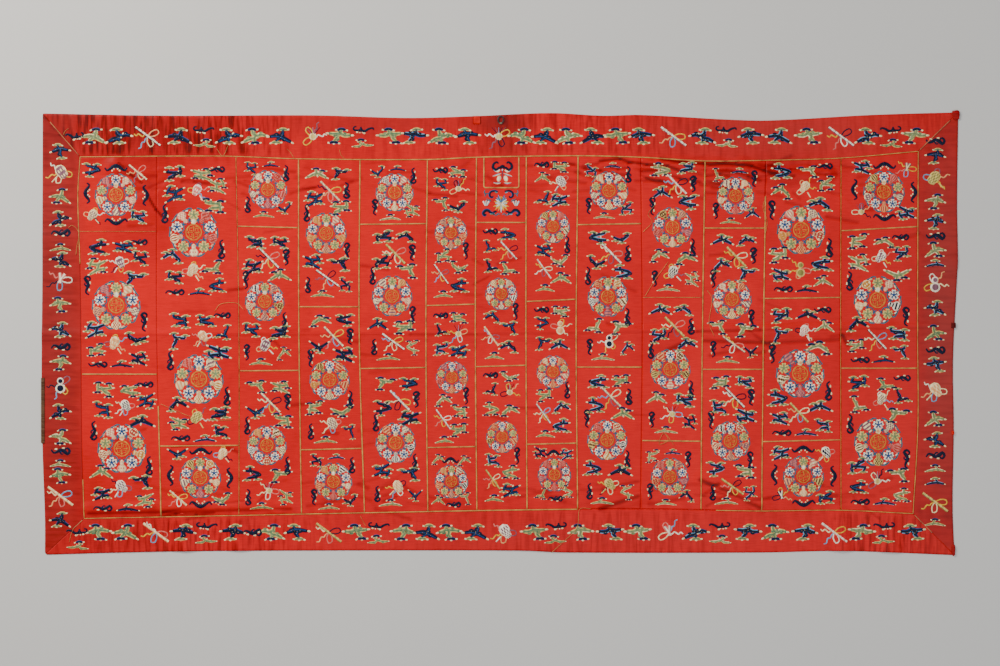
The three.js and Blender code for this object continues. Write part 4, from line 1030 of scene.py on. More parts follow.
def roundel(work, centre, radius, is_white_first):
    """A fret, a tendril round it, five flowers and five gourds; its spots are shares of its radius."""
    centre = np.array(centre)
    spot = lambda share, angle: centre + radius * share * np.array([math.cos(angle), math.sin(angle)])
    line = lambda spots: [spot(share, angle) for share, angle in spots]
    fifth, top = 2 * math.pi / 5, math.pi / 2
    # The tendril: an outer rim broken by the fruit, an inner wave round the fret, and its curls.
    for k in range(10):
        start = top + (k + 0.12) * fifth / 2
        rim = [(0.96 + 0.025 * math.sin(n * 2 + k), start + n * fifth / 9) for n in range(4)]
        stroke(work, line(rim), radius * 0.085, ["tendril"], 0.7, (0.6, 1, 0.8), 2)
        curl = [(0.93, start + 0.02), (0.82, start + 0.06), (0.8, start + 0.16)]
        stroke(work, line(curl), radius * 0.065, ["tendril"], 0.7, (1, 0.5), 2)
    wave = [(0.5 - 0.09 * math.cos(5 * (a - top)), a) for a in np.linspace(0, 2 * math.pi, 31)]
    stroke(work, line(wave), radius * 0.06, ["tendril"], 0.7, (1, 1), 2)
    for k in range(5):
        angle = top + (k + 0.5) * fifth
        for lean in (-1, 1):
            leaf = [(0.42, angle + lean * 0.12), (0.54, angle + lean * 0.33), (0.63, angle + lean * 0.27)]
            stroke(work, line(leaf), radius * 0.08, ["blue", "tendril"], 0.8, (0.6, 1, 0.4), 2)
    # Flowers of two kinds, with a bud under the top one, and gourds with pale buds beside them.
    for k in range(5):
        is_white = (k in (0, 2, 3)) == is_white_first
        dyes = ("white", "blue") if is_white else ("straw", "sage")
        flower(work, spot(0.7, top + k * fifth), radius * 0.25, *dyes, top + k * fifth)
        angle = top + (k + 0.5) * fifth
        fruit = dice.choice(GOURD_DYES), dice.choice(GOURD_PATTERNS)
        gourd(work, spot(0.72, angle), angle, radius * 0.52, radius * 0.42, *fruit)
        for lean in (-1, 1):
            dyes = dice.choice((["white"], ["cream"], ["cream", "pink"], ["white", "straw"]))
            bud = spot(0.91, angle + lean * 0.3)
            disc(work, bud, radius * 0.08, radius * 0.17, dyes, 0.9, angle + lean * 0.5, 7)
    rings = [(1.0, "cream"), (0.5, "peach" if is_white_first else "white")]
    rosette(work, spot(0.44, top), petals(radius * 0.14, 5, 0.2), rings)
    fret(work, centre, radius * 0.33)


roundel_work = []
for column_number, column_roundels in enumerate(ROUNDELS):
    for row_number, found in enumerate(column_roundels):
        if found:
            px, py, radius = found
            is_even = (column_number + row_number) % 2 == 0
            roundel(roundel_work, at_pixel(px, py), radius * MM_PER_PIXEL, is_even)
embroider("embroidered_roundels", roundel_work)

# Clouds, bats and emblems: the small motifs round each roundel and along the border. Clouds are thick
# curling bodies in two blues or two greens with caps of the other kind, bats are dark, and the emblems
# are tied with long looped ribbons.
CLOUD_SHAPES = (  # bodies as lines in a box of one by one, then the caps' places
    ((((-0.26, 0.38), (-0.28, 0.12), (-0.1, 0.04), (0.42, 0.08)),
      ((-0.1, 0.04), (0.12, -0.16), (0.36, -0.26))),
     ((-0.26, 0.4), (0.3, 0.34), (-0.3, -0.16), (0.3, -0.42))),
    ((((-0.46, -0.06), (-0.2, 0.1), (0.02, 0.12), (0.26, -0.1), (0.4, -0.2)), ((0.0, 0.1), (0.02, 0.26))),
     ((0.0, 0.36), (0.32, -0.38), (-0.36, 0.2))),
    ((((0.42, 0.16), (0.05, 0.12), (-0.36, -0.04), (-0.05, -0.2), (0.36, -0.3)),
      ((0.2, 0.34), (0.18, 0.12))),
     ((0.2, 0.42), (-0.26, -0.38), (0.4, -0.42))),
    ((((-0.34, 0.3), (-0.3, 0.08), (-0.24, -0.12), (0.1, -0.16), (0.36, -0.24)), ((-0.3, 0.1), (0.1, 0.14))),
     ((-0.34, 0.4), (-0.34, -0.28), (0.3, -0.42), (0.2, 0.3))),
    ((((-0.34, 0.16), (0.08, 0.18), (0.2, -0.06), (0.34, -0.26)), ((0.08, 0.18), (0.3, 0.26))),
     ((-0.38, 0.3), (0.26, 0.42), (0.3, -0.4))),
    ((((-0.46, -0.2), (-0.1, 0.04), (0.1, 0.04), (0.46, -0.18)), ((0.0, 0.04), (0.04, 0.24))),
     ((0.04, 0.38), (-0.3, 0.22))),
    ((((-0.42, 0.26), (0.0, 0.1), (0.4, 0.14)), ((-0.4, -0.1), (0.0, -0.2), (0.38, -0.4)),
      ((-0.1, 0.14), (0, -0.2))),
     ((0.2, 0.4), (-0.34, -0.3), (0.42, -0.1))),
)
FLAT_CLOUD = ((((-0.44, -0.3), (-0.15, -0.16), (0.15, -0.2), (0.44, -0.34)),), ((0, 0.26),))
# The border's clouds: tall ones with a long arm, a short arm and a leg, a cap above and another below.
RUNNING_CLOUDS = (
    ((((-0.42, 0.06), (-0.2, 0.06), (0.0, 0.17), (0.2, 0.14), (0.42, 0.17)),
      ((-0.06, 0.3), (0.0, 0.17), (0.13, 0.04), (0.13, -0.1), (0.24, -0.24))),
     ((-0.07, 0.4), (0.26, -0.36))),
    ((((-0.4, 0.02), (-0.25, 0.08), (-0.12, 0.16), (0.12, 0.15), (0.38, 0.1)),
      ((-0.14, 0.3), (-0.12, 0.16), (0.0, 0.1), (-0.04, -0.1), (0.06, -0.28))),
     ((-0.14, 0.4), (0.08, -0.38))),
    ((((-0.4, -0.3), (-0.16, -0.12), (0.0, -0.02), (0.18, 0.04), (0.42, 0.0)),
      ((-0.1, 0.3), (-0.06, 0.12), (0.0, -0.02), (0.16, -0.2))),
     ((-0.1, 0.4), (0.2, -0.36))),
    ((((0.1, 0.3), (0.06, 0.14), (-0.08, 0.04), (-0.26, 0.1), (-0.42, 0.06)),
      ((-0.08, 0.04), (0.04, -0.12), (0.0, -0.28)), ((0.04, -0.1), (0.24, -0.16), (0.42, -0.28))),
     ((0.12, 0.4), (-0.02, -0.38))),
)
# The little cloud under a border bat: one arm, one foot and a wide cap.
PAIR_CLOUD = (
    (((-0.46, -0.42), (-0.22, -0.38), (-0.06, -0.12)),
     ((-0.2, 0.02), (0.0, -0.18), (0.2, -0.3), (0.4, -0.28))),
    ((-0.12, 0.3),),
)
CLOUD_DYES = {  # two usual sets of dyes, from one side of a body to the other, and a lighter set
    "blue": (
        ["blue", "navy", "navy", "navy"], ["navy", "navy", "blue", "navy"], ["sky", "navy", "navy", "blue"],
    ),
    "green": (
        ["straw", "sage", "green", "straw"], ["straw", "green", "sage", "straw"],
        ["cream", "sage", "sage", "straw"],
    ),
}
CAP_DYES = {"blue": ["straw", "green", "sage", "straw"], "green": ["blue", "navy", "navy", "blue"]}


def cap(work, centre, width, dyes):
    """A flat cap like a lily pad, with pale spots beneath it and a pale tip at either end."""
    piece = lambda spots: placed(spots, centre, 0, (width, width))
    arch = ((-0.52, -0.05), (-0.25, 0.03), (0, 0.06), (0.25, 0.03), (0.52, -0.05))
    pale = dice.choice(("cream", "peach", "cream"))
    disc(work, piece((0, -0.15)), width * 0.36, width * 0.24, [pale], 1.1)
    stroke(work, piece(arch), width * 0.42, dyes, 1.2, (0.5, 0.95, 1, 0.95, 0.5), 2)
    lean = dice.choice((-0.06, 0.08))
    for side in (-1, 1):
        tip = ((0.48 * side, -0.04 + 0.3 * lean), (0.74 * side, -0.06 + side * lean))
        stroke(work, piece(tip), width * 0.25, ["cream"], 1.3, (0.9, 0.8), 1)


def cloud(work, centre, width, height, scheme, shape=None, cap_share=1.8):
    """Billowing bodies with pale free ends, knobs at their bends, and caps."""
    bodies, caps = shape or dice.choice(CLOUD_SHAPES)
    centre = np.array(centre)
    scale = (width * 0.93 * dice.choice((-1, 1)), height * (dice.choice((-1, 1, 1)) if shape is None else 1))
    thick = min(width, height * 1.4) * 0.165
    spots = [placed(spot, centre, 0, scale) for spot in caps]
    # The clouds of the right-hand half are worked in lighter dyes.
    light_share = 0.75 if centre[0] > 150 else 0.1
    dyes = CLOUD_DYES[scheme][2] if dice.random() < light_share else dice.choice(CLOUD_DYES[scheme][:2])
    joints = []
    for body in bodies:
        line = placed(body, centre, 0, scale)
        joints.extend(line)
        stroke(work, line, thick * 1.08, dyes, 1.0, (0.95, 1.15, 1.15, 0.85), 3)
        for joint in line[1:-1]:
            side = dice.choice((-0.22, 0.22)) * thick
            disc(work, joint + (0, side), thick * 1.75, thick * 1.45, [dyes[1]], 1.1, 0, 8)
            pale = dice.choice(("peach", "cream"))
            disc(work, joint + (0, side), thick * 0.55, thick * 0.45, [pale], 1.5, 0, 6)
        for end, before in ((line[0], line[1]), (line[-1], line[-2])):
            # A free end is a pale knob, and one near a cap runs in under it.
            if min(np.hypot(*(end - spot)) for spot in spots) > thick * 1.2:
                run = (end - before) / max(np.hypot(*(end - before)), 1e-9) * thick
                disc(work, end, thick * 1.15, thick * 1.1, [dyes[1]], 1.1, 0, 8)
                bearing = math.atan2(run[1], run[0])
                disc(work, end + run * 0.7, thick * 1.15, thick * 0.62, ["cream"], 1.4, bearing, 8)
    for spot in spots:
        # Each cap sits on the end of a short neck from the nearest bend of a body.
        joint = min(joints, key=lambda place: np.hypot(*(place - spot)))
        if np.hypot(*(joint - spot)) > thick * 0.4:
            stroke(work, (joint, spot), thick * 0.95, dyes, 1.0, (1, 1), 1)
        cap(work, spot, thick * cap_share, CAP_DYES[scheme])


# A spread bat: half of it, from its middle, and the pale scallops of that half.
SPREAD_WING = ((0, 0.24), (0.13, 0.16), (0.27, -0.12), (0.41, -0.3), (0.49, -0.04))
SPREAD_SCALLOPS = ((0.09, -0.12), (0.17, -0.34))
# The border's bats, from one hooked wing tip to the other, with pale scallops and their sizes.
BAT_RUN = (
    (-0.34, 0.44), (-0.44, 0.4), (-0.48, 0.2), (-0.42, 0.0), (-0.26, -0.05), (-0.1, -0.06), (0.07, -0.14),
    (0.21, 0.1), (0.36, 0.24), (0.45, 0.24), (0.48, 0.06),
)
RUN_SCALLOPS = (((-0.3, -0.24), 0.3), ((-0.17, -0.32), 0.2), ((0.04, -0.38), 0.3), ((-0.04, -0.3), 0.2))
# A patch's bats, side on: from one curled wing tip to the other.
BAT_SIDE = (
    (-0.5, -0.16), (-0.38, 0.2), (-0.2, 0.12), (0.0, -0.12), (0.2, 0.0), (0.4, 0.34), (0.52, 0.0),
    (0.4, -0.34), (0.26, -0.2),
)


def bat(work, centre, width, height, angle=0.0, form=None):
    """A dark bat: side on with curled wings, or spread, or running along the border."""
    centre, scale, mirror = np.array(centre), (width, height), dice.choice((-1, 1))
    piece = lambda spots: placed(spots, centre, angle, scale)
    if form == "running":
        scale = (width * dice.choice((1, 1, -1)), height)
        for spot, share in RUN_SCALLOPS:
            disc(work, piece(spot), height * share * 1.2, height * share, ["cream"], 1.0, 0, 7)
        swelling = (0.6, 0.8, 0.9, 1.1, 1.3, 1.1, 0.8, 0.8)
        stroke(work, piece(BAT_RUN), height * 0.3, ["navy"] * 3, 1.2, swelling, 2)
        disc(work, piece((-0.12, 0.06)), width * 0.2, height * 0.5, ["navy", "navy"], 1.5)
        disc(work, piece((-0.12, 0.34)), height * 0.3, height * 0.26, ["navy"], 1.4, 0, 7)
        disc(work, piece((-0.12, -0.04)), height * 0.24, height * 0.2, ["mauve"], 1.8, 0, 7)
        return
    if form == "spread":
        for side in (-1, 1):
            for x, y in SPREAD_SCALLOPS:
                disc(work, piece((x * side, y)), height * 0.24, height * 0.26, ["cream"], 0.9, 0, 7)
            half = [(x * side, y) for x, y in SPREAD_WING]
            stroke(work, piece(half), height * 0.42, ["navy"] * 3, 1.1, (1.35, 1.15, 0.8, 0.5), 2)
            disc(work, piece(half[-1]), height * 0.28, height * 0.28, ["navy"], 1.1, 0, 7)
        middle = SPREAD_WING[0][1]
        disc(work, piece((0, middle + 0.04)), height * 0.5, height * 0.5, ["navy", "navy"], 1.5)
        disc(work, piece((0, middle - 0.2)), height * 0.2, height * 0.24, ["blue"], 1.8, 0, 6)
        return
    body = [(x, y * mirror) for x, y in BAT_SIDE]
    stroke(work, piece(body), height * 0.4, ["navy"] * 3, 1.1, (0.5, 0.7, 1.1, 1.3, 1, 0.75, 0.5), 2)
    ear = ((-0.06, 0.02), (0.06, 0.36 * mirror), (0.16, 0.3 * mirror))
    stroke(work, piece(ear), height * 0.26, ["navy"], 1.2, (1, 0.6), 2)
    for x, y in ((-0.24, -0.22), (0.16, -0.34)):
        scallop = ((x - 0.07, y * mirror), (x + 0.07, y * mirror))
        stroke(work, piece(scallop), height * 0.26, ["cream"], 1.5, (0.6, 0.9), 1)
    face = dice.choice(("blue", "mauve"))
    disc(work, piece((0.04, 0.08 * mirror)), height * 0.22, height * 0.22, [face], 1.7, 0, 6)


RIBBON_DYES = ("cream", "yellow", "peach", "white", "sky", "pink", "cream", "navy", "mauve", "yellow")
ROD_DYES = (
    ("cream", "peach"), ("white", "pink"), ("straw", "olive"), ("cream", "mauve"), ("white", "mauve"),
    ("white", "navy"),
)
THINNEST_RIBBON = 2.9
FAN_PROFILE = ((0, 0.2), (0.12, 0.8), (0.3, 0.86), (0.5, 1.0), (0.7, 0.96), (0.88, 0.7), (1, 0.1))
BAG_PROFILE = ((0, 0.3), (0.14, 0.66), (0.26, 0.6), (0.4, 0.86), (0.6, 1.0), (0.82, 0.92), (1, 0.4))


def ribbons(work, centre, size, angle, width):
    """Two looped ends and two wavy tails from a knot."""
    dyes = dice.sample(RIBBON_DYES, 4)
    loops = (
        ((0, 0), (0.18, 0.16), (0.44, 0.2), (0.5, 0.04), (0.3, -0.05), (0.02, -0.02)),
        ((0, 0), (-0.08, -0.22), (0.0, -0.46), (0.16, -0.38), (0.12, -0.14), (0, 0)),
    )
    tails = (
        ((0, 0), (-0.12, 0.1), (-0.22, 0.04), (-0.3, 0.12), (-0.38, 0.2), (-0.48, 0.14), (-0.56, 0.24)),
        ((0, 0), (-0.14, -0.1), (-0.2, -0.2), (-0.3, -0.2), (-0.36, -0.3), (-0.4, -0.4), (-0.52, -0.42)),
    )
    for dye, loop in zip(dyes[:2], loops):
        stroke(work, placed(loop, centre, angle, (size, size)), width, [dye], 1.2, (1, 1), 2)
    for dye, tail in zip(dyes[2:], tails):
        stroke(work, placed(tail, centre, angle, (size, size)), width * 1.1, [dye], 1.0, (0.8, 1, 1, 0.8), 3)


def emblem(work, centre, width, height, kind=None):
    """One of the tied attributes: flute, fan, whisk, clappers, bag or gourd."""
    kind = kind or dice.choice(("flute", "flute", "fan", "whisk", "clappers", "bag", "gourd"))
    centre, size = np.array(centre), min(width, height) * 1.1
    rod, trim = dice.choice(ROD_DYES)
    mirror = 1 if kind == "flute" else dice.choice((-1, 1))
    piece = lambda spots: placed(spots, centre, 0, (width * mirror, height))
    hang = dice.uniform(-0.5, 0.5) + (0 if mirror > 0 else math.pi)
    ribbons(work, centre, size * 1.05, hang, max(THINNEST_RIBBON, size * 0.062))
    if kind == "flute":
        pipe = ((-0.5, 0.46), (0.0, 0.0), (0.5, -0.46))
        stroke(work, piece(pipe), size * 0.13, [trim, rod, rod], 1.7, (1, 1, 1), 2)
        for share in (-0.4, -0.25, -0.1, 0.12, 0.26, 0.4):
            ring = ((share - 0.03, -share * 0.92 - 0.05), (share + 0.03, -share * 0.92 + 0.05))
            stroke(work, piece(ring), size * 0.045, [trim], 2.0, (1, 1), 1)
    elif kind in ("fan", "bag"):
        lean = math.pi / 2 + dice.uniform(0.4, 0.8) * mirror
        profile = FAN_PROFILE if kind == "fan" else BAG_PROFILE
        pattern = dice.choice(GOURD_PATTERNS[:4])
        gourd(work, piece((0.04, 0.06)), lean, size * 0.68, size * 0.52, (rod, trim), pattern, profile, 1.7)
        stroke(work, piece(((-0.14, -0.2), (-0.34, -0.46))), size * 0.08, [rod], 1.6, (1, 0.8), 1)
    elif kind == "whisk":
        for n in range(5):
            hair = ((0.0, 0.02), (0.06 * (n - 2), 0.22), (0.14 * (n - 2), 0.46))
            stroke(work, piece(hair), size * 0.045, [("navy", "mauve", "sky")[n % 3]], 1.2, (1, 0.5), 2)
        disc(work, centre, size * 0.38, size * 0.38, ["cream", "straw"], 1.7)
    elif kind == "clappers":
        for lean in (-0.55, 0.05):
            board = placed(((0.0, -0.16), (0.0, 0.36)), (0, 0), lean)
            stroke(work, piece(board), size * 0.19, [trim, rod, trim], 1.7, (0.8, 1, 1), 2)
    else:
        for y, share in ((-0.16, 0.5), (0.2, 0.34)):
            disc(work, piece((0, y)), size * share, size * share, [rod, trim], 1.7, 0, 12)


# The motifs of a patch, by column width: kind, offset from the roundel (photo pixels, y down) and size.
WIDE_LONG = (
    ("blue", -18.6, -58.6, 20, 17), ("green", 7.7, -57.8, 21, 13), ("bat", 22.8, -63.2, 16, 7),
    ("green", -19.4, -38.2, 19, 19), ("bag", 3.7, -41.5, 16, 20), ("blue", 24, -46.5, 17, 17),
    ("green", 19.4, -26, 24, 16), ("upright bat", -28.4, -19, 8, 18), ("upright bat", 28, 17, 8, 18),
    ("blue", -21, 24.6, 20, 18), ("emblem", -1, 39, 18, 21), ("blue", 19.4, 34, 22, 15),
    ("green", -20.2, 45, 18, 14), ("green", 22.4, 52.5, 17, 15), ("bat", -18.6, 59.4, 18, 7),
    ("flat blue", 6, 59, 23, 9),
)
MIDDLE_LONG = (
    ("green", -10, -58.5, 20, 14), ("blue", 14, -59, 18, 13), ("flute", 3.6, -42.8, 19, 21),
    ("upright bat", 20.8, -43.6, 8, 15), ("blue", -11, -34.2, 18, 17), ("green", 15, -25, 20, 16),
    ("upright bat", -19.5, -20.6, 7, 17), ("upright bat", 20, 19.4, 7, 17), ("blue", -14, 28.5, 18, 16),
    ("green", 13.4, 31, 21, 15), ("emblem", 1.5, 45, 22, 17), ("upright bat", -18.2, 50.9, 7, 15),
    ("blue", 19.4, 52, 13, 17), ("flat green", -4.5, 60, 23, 9),
)
NARROW_LONG = (
    ("bat", -11.5, -62, 14, 7), ("green", 6.8, -60, 18, 12), ("blue", -10.5, -48, 14, 14),
    ("emblem", 7, -44, 16, 19), ("green", -9.4, -28.5, 16, 15), ("blue", 7, -26, 18, 14),
    ("upright bat", 14.6, 18.5, 6.5, 16), ("blue", -8.6, 23.5, 16, 15), ("green", 7.6, 35, 17, 15),
    ("flute", -9.4, 42, 14, 21), ("blue", 8, 53, 18, 15), ("flat green", -7.2, 61.4, 18, 9),
)
WIDE_SHORT = (
    ("spread bat", 0, -26.4, 22, 8), ("west bat", -29.4, -2, 7.5, 20), ("east bat", 29.2, 0, 7.5, 20),
    ("drooping bat", 0, 26.2, 22, 8), ("blue", -22.5, -24, 18, 15), ("emblem", 22.5, -22.5, 18, 16),
    ("emblem", -22.5, 20.5, 17, 16), ("green", 22, 21.5, 18, 15),
)
MIDDLE_SHORT = (
    ("blue", -16.5, -20.5, 13, 15), ("flat blue", 3.5, -25, 17, 7), ("upright bat", 18.6, -16.6, 7, 15),
    ("upright bat", -19.6, 15.4, 7, 15), ("blue", 17.5, 18.6, 14, 15), ("flat green", -4.5, 24.6, 21, 8),
)
NARROW_SHORT = (
    ("blue", -13.6, -21.5, 12, 13), ("spread bat", -0.5, -21.8, 16, 7), ("green", 12.6, -21, 12, 13),
    ("green", -13.4, 19.6, 12, 13), ("bat", 1.2, 23.5, 14, 6.5), ("blue", 13, 17.6, 12, 14),
)
WIDE_COLUMNS, NARROW_COLUMNS = (1, 2, 12, 13), (6, 7, 8)
BAT_FORM_OF = {"spread bat": "spread", "drooping bat": "spread", "horned bat": "running"}


def add_motif(work, kind, centre, width, height, shapes=None):
    """One motif by its kind; the border gives its own cloud shapes, which have broader caps."""
    name = kind.split()[-1]
    if name in ("blue", "green"):
        shape = FLAT_CLOUD if "flat" in kind else dice.choice(shapes) if shapes else None
        cloud(work, centre, width, height, name, shape, 3.0 if "flat" in kind else 2.2 if shapes else 2.0)
    elif kind == "upright bat":
        bat(work, centre, height, width, math.pi / 2 * dice.choice((-1, 1)))
    elif kind in ("west bat", "east bat"):
        bat(work, centre, height, width, math.pi / 2 * (1 if kind == "west bat" else -1), "spread")
    elif name == "bat":
        bat(work, centre, width, height, math.pi if "drooping" in kind else 0, BAT_FORM_OF.get(kind))
    else:
        emblem(work, centre, width, height, None if kind == "emblem" else kind)


WANDER = 0.7  # photo pixels
field_works = {"left": [], "right": []}
for column_number, column_roundels in enumerate(ROUNDELS, 1):
    is_wide, is_narrow = column_number in WIDE_COLUMNS, column_number in NARROW_COLUMNS
    long_motifs = WIDE_LONG if is_wide else NARROW_LONG if is_narrow else MIDDLE_LONG
    short_motifs = WIDE_SHORT if is_wide else NARROW_SHORT if is_narrow else MIDDLE_SHORT
    short_row = 0 if column_number % 2 else 2
    work = field_works["left" if column_number < 7 else "right"]
    for row_number, found in enumerate(column_roundels):
        if not found:
            continue
        for kind, across, down, width, height in short_motifs if row_number == short_row else long_motifs:
            # No two patches are quite alike: places wander a little, and some clouds change colour.
            px = found[0] + across + dice.uniform(-WANDER, WANDER)
            py = found[1] + down + dice.uniform(-WANDER, WANDER)
            if kind in ("blue", "green") and dice.random() < 0.3:
                kind = "green" if kind == "blue" else "blue"
            add_motif(work, kind, at_pixel(px, py), width * MM_PER_PIXEL, height * MM_PER_PIXEL)
for side, work in field_works.items():
    embroider(f"embroidered_clouds_{side}", work)

# The border's motifs: clouds, bats and tied emblems in a row along the middle of each strip, given by
# kind and by place along it in photo pixels. A pair is a bat over a small cloud.
BORDER_TOP_ROW, BORDER_BOTTOM_ROW = 136.5, 532.5
BORDER_LEFT_COLUMN, BORDER_RIGHT_COLUMN = 60.5, 935
TOP_MOTIFS = (
    ("horned bat", 74.6), ("green", 94), ("blue", 119.3), ("flute", 148), ("blue", 179), ("pair", 203.8),
    ("blue", 229), ("green", 254.8), ("blue", 280.7), ("whisk", 313), ("green", 340), ("pair", 363.5),
    ("green", 390), ("blue", 415), ("green", 441.6), ("blue", 468), ("emblem", 498.8), ("green", 521.6),
    ("blue", 545), ("green", 568.5), ("blue", 592.9), ("green", 616.9), ("blue", 641.8), ("flute", 673.3),
    ("blue", 702.3), ("pair", 726), ("blue", 751), ("blue", 778.9), ("green", 808), ("flute", 841),
    ("blue", 868), ("pair", 890.4), ("green", 915),
)
BOTTOM_MOTIFS = (
    ("pair", 77, 6), ("green", 99), ("green", 125.7), ("emblem", 156), ("blue", 183), ("pair", 207),
    ("blue", 232.5), ("bat", 252), ("green", 271.4), ("blue", 297.3), ("emblem", 328.8), ("green", 356),
    ("pair", 379), ("green", 403), ("blue", 426.7), ("green", 449.4), ("blue", 475.6), ("bag", 504.5),
    ("green", 534), ("pair", 556), ("green", 581), ("blue", 610), ("green", 637.6), ("emblem", 669),
    ("blue", 695.7), ("pair", 719.5), ("blue", 748), ("green", 775), ("blue", 804.5), ("emblem", 834),
    ("green", 861.8), ("pair", 883.8), ("blue", 911.6),
)
LEFT_MOTIFS = (
    ("blue", 151.8), ("fan", 173), ("green", 196.5), ("blue", 219), ("bat", 233), ("flat green", 247),
    ("blue", 260), ("clappers", 280), ("green", 305), ("blue", 330), ("bat", 347), ("green", 363),
    ("gourd", 385), ("blue", 412), ("green", 437), ("bat", 451), ("flat green", 463), ("green", 476),
    ("flute", 496), ("blue", 520),
)
RIGHT_MOTIFS = (
    ("bat", 141), ("blue", 156.5), ("fan", 179), ("green", 202), ("blue", 222), ("bat", 236),
    ("green", 250), ("flat blue", 263), ("gourd", 284), ("blue", 308.5), ("green", 333), ("bat", 350),
    ("blue", 365), ("bag", 391), ("green", 419), ("blue", 440), ("bat", 455.5), ("flat green", 468),
    ("flat blue", 481), ("flute", 502), ("flat green", 522),
)
# Their width and height, in photo pixels too.
BORDER_CLOUD, SIDE_CLOUD, BORDER_BAT, BORDER_EMBLEM = (25, 17), (20, 17), (18, 8.5), (25, 20)
PAIR_BAT_SIZE, PAIR_CLOUD_SIZE, PAIR_SHIFT = (21, 8), (22, 9), 6.3
FLAT_SHARE = 0.55  # the height of a flat cloud, as a share of the others'


def border_motifs(work, motifs, is_side, line):
    """The motifs along one strip, whose middle line is a row or a column of photo pixels."""
    for kind, at, *aside in motifs:
        # A third number moves a motif off its row, in pixels down.
        level = line + (aside[0] if aside else 0)
        spot = np.array(at_pixel(level, at) if is_side else at_pixel(at, level))
        size = BORDER_EMBLEM
        if "blue" in kind or "green" in kind:
            size = SIDE_CLOUD if is_side else BORDER_CLOUD
        elif kind.endswith("bat"):
            size = BORDER_BAT
        width, height = (n * MM_PER_PIXEL for n in size)
        if kind == "pair":
            shift = np.array([0, PAIR_SHIFT * MM_PER_PIXEL])
            bat(work, spot + shift, *(n * MM_PER_PIXEL for n in PAIR_BAT_SIZE), 0, "running")
            cloud(work, spot - shift, *(n * MM_PER_PIXEL for n in PAIR_CLOUD_SIZE), "green", PAIR_CLOUD, 3.4)
        else:
            height *= FLAT_SHARE if "flat" in kind else 1
            add_motif(work, kind, spot, width, height, RUNNING_CLOUDS)


border_work = []
border_motifs(border_work, TOP_MOTIFS, False, BORDER_TOP_ROW)
border_motifs(border_work, BOTTOM_MOTIFS, False, BORDER_BOTTOM_ROW)
border_motifs(border_work, LEFT_MOTIFS, True, BORDER_LEFT_COLUMN)
border_motifs(border_work, RIGHT_MOTIFS, True, BORDER_RIGHT_COLUMN)
embroider("embroidered_border", border_work)

# The top patch of the middle column: a bat over two peaches inside the small square, and below it a
# lotus with scrolling leaves and a small flower on either side.
centre_work = []
CENTRE_BAT, CENTRE_LOTUS = (502.4, 168.5), (501.2, 203.2)  # photo pixels
bat_x, bat_y = at_pixel(*CENTRE_BAT)
for side in (-1, 1):
    across = lambda spots: [(bat_x + side * x, bat_y + y) for x, y in spots]
    wing = across(((2, 1), (9, 2), (17, -4), (25, 2), (23, 12), (15, 17), (11, 13)))
    stroke(centre_work, wing, 7.4, ["navy"] * 3, 1.1, (0.9, 0.9, 1.2, 1.1, 0.8, 0.6))
    edge = across(((7, -4), (12, -8), (19, -8)))
    stroke(centre_work, edge, 5.5, ["white", "cream"], 1.3, (0.8, 1, 0.4), 2)
    stroke(centre_work, across(((18, -8), (24, -3))), 3, ["sky"], 1.4, (1, 0.6), 2)
    for spots in (((3, -13), (14, -17), (26, -21)), ((4, -38), (13, -40), (24, -38))):
        stroke(centre_work, across(spots), 5, ["sky", "cream"], 1.2, (0.3, 1, 0.9, 0.3), 2)
    disc(centre_work, across(((9, -27),))[0], 12, 18, ["cream", "white"], 1.6, side * 0.3, 14)
stalk = [(bat_x, bat_y - drop) for drop in (4, 14, 27)]
stroke(centre_work, stalk, 3, ["navy", "mauve"], 1.2)
disc(centre_work, (bat_x, bat_y + 5), 15, 10, ["navy", "navy"], 1.6)
disc(centre_work, (bat_x, bat_y - 4), 5, 7, ["sky", "white"], 1.8)

lotus_x, lotus_y = at_pixel(*CENTRE_LOTUS)
LOTUS_PETALS = (  # width and dyes, then the degrees and reach of each petal, outer rows first
    (5.5, ["yellow"],
     ((14, 20), (166, 20), (205, 23), (228, 25), (250, 22), (290, 22), (312, 25), (335, 23))),
    (8, ["sky", "white", "sky"],
     ((0, 16), (180, 16), (35, 18), (145, 18), (215, 17), (325, 17), (270, 25))),
    (7, ["sky", "blue"], ((68, 24), (112, 24), (50, 20), (130, 20))),
    (6, ["cream", "peach"], ((30, 10), (150, 10), (235, 12), (305, 12))),
    (4, ["sky", "white"], ((0, 8), (180, 8), (270, 11))),
)
for row, (width, dyes, row_petals) in enumerate(LOTUS_PETALS):
    for degrees, reach in row_petals:
        run = np.array([math.cos(math.radians(degrees)), math.sin(math.radians(degrees))]) * reach
        petal = [(lotus_x + share * run[0], lotus_y + share * run[1]) for share in (0.1, 0.55, 1)]
        stroke(centre_work, petal, width, dyes, 1.1 + 0.2 * row, (0.7, 1, 0.25), 2)
disc(centre_work, (lotus_x, lotus_y + 14), 10, 9, ["yellow", "gold"], 2.2)
SIDE_FLOWER = 40  # from the lotus's middle to the flower on either side
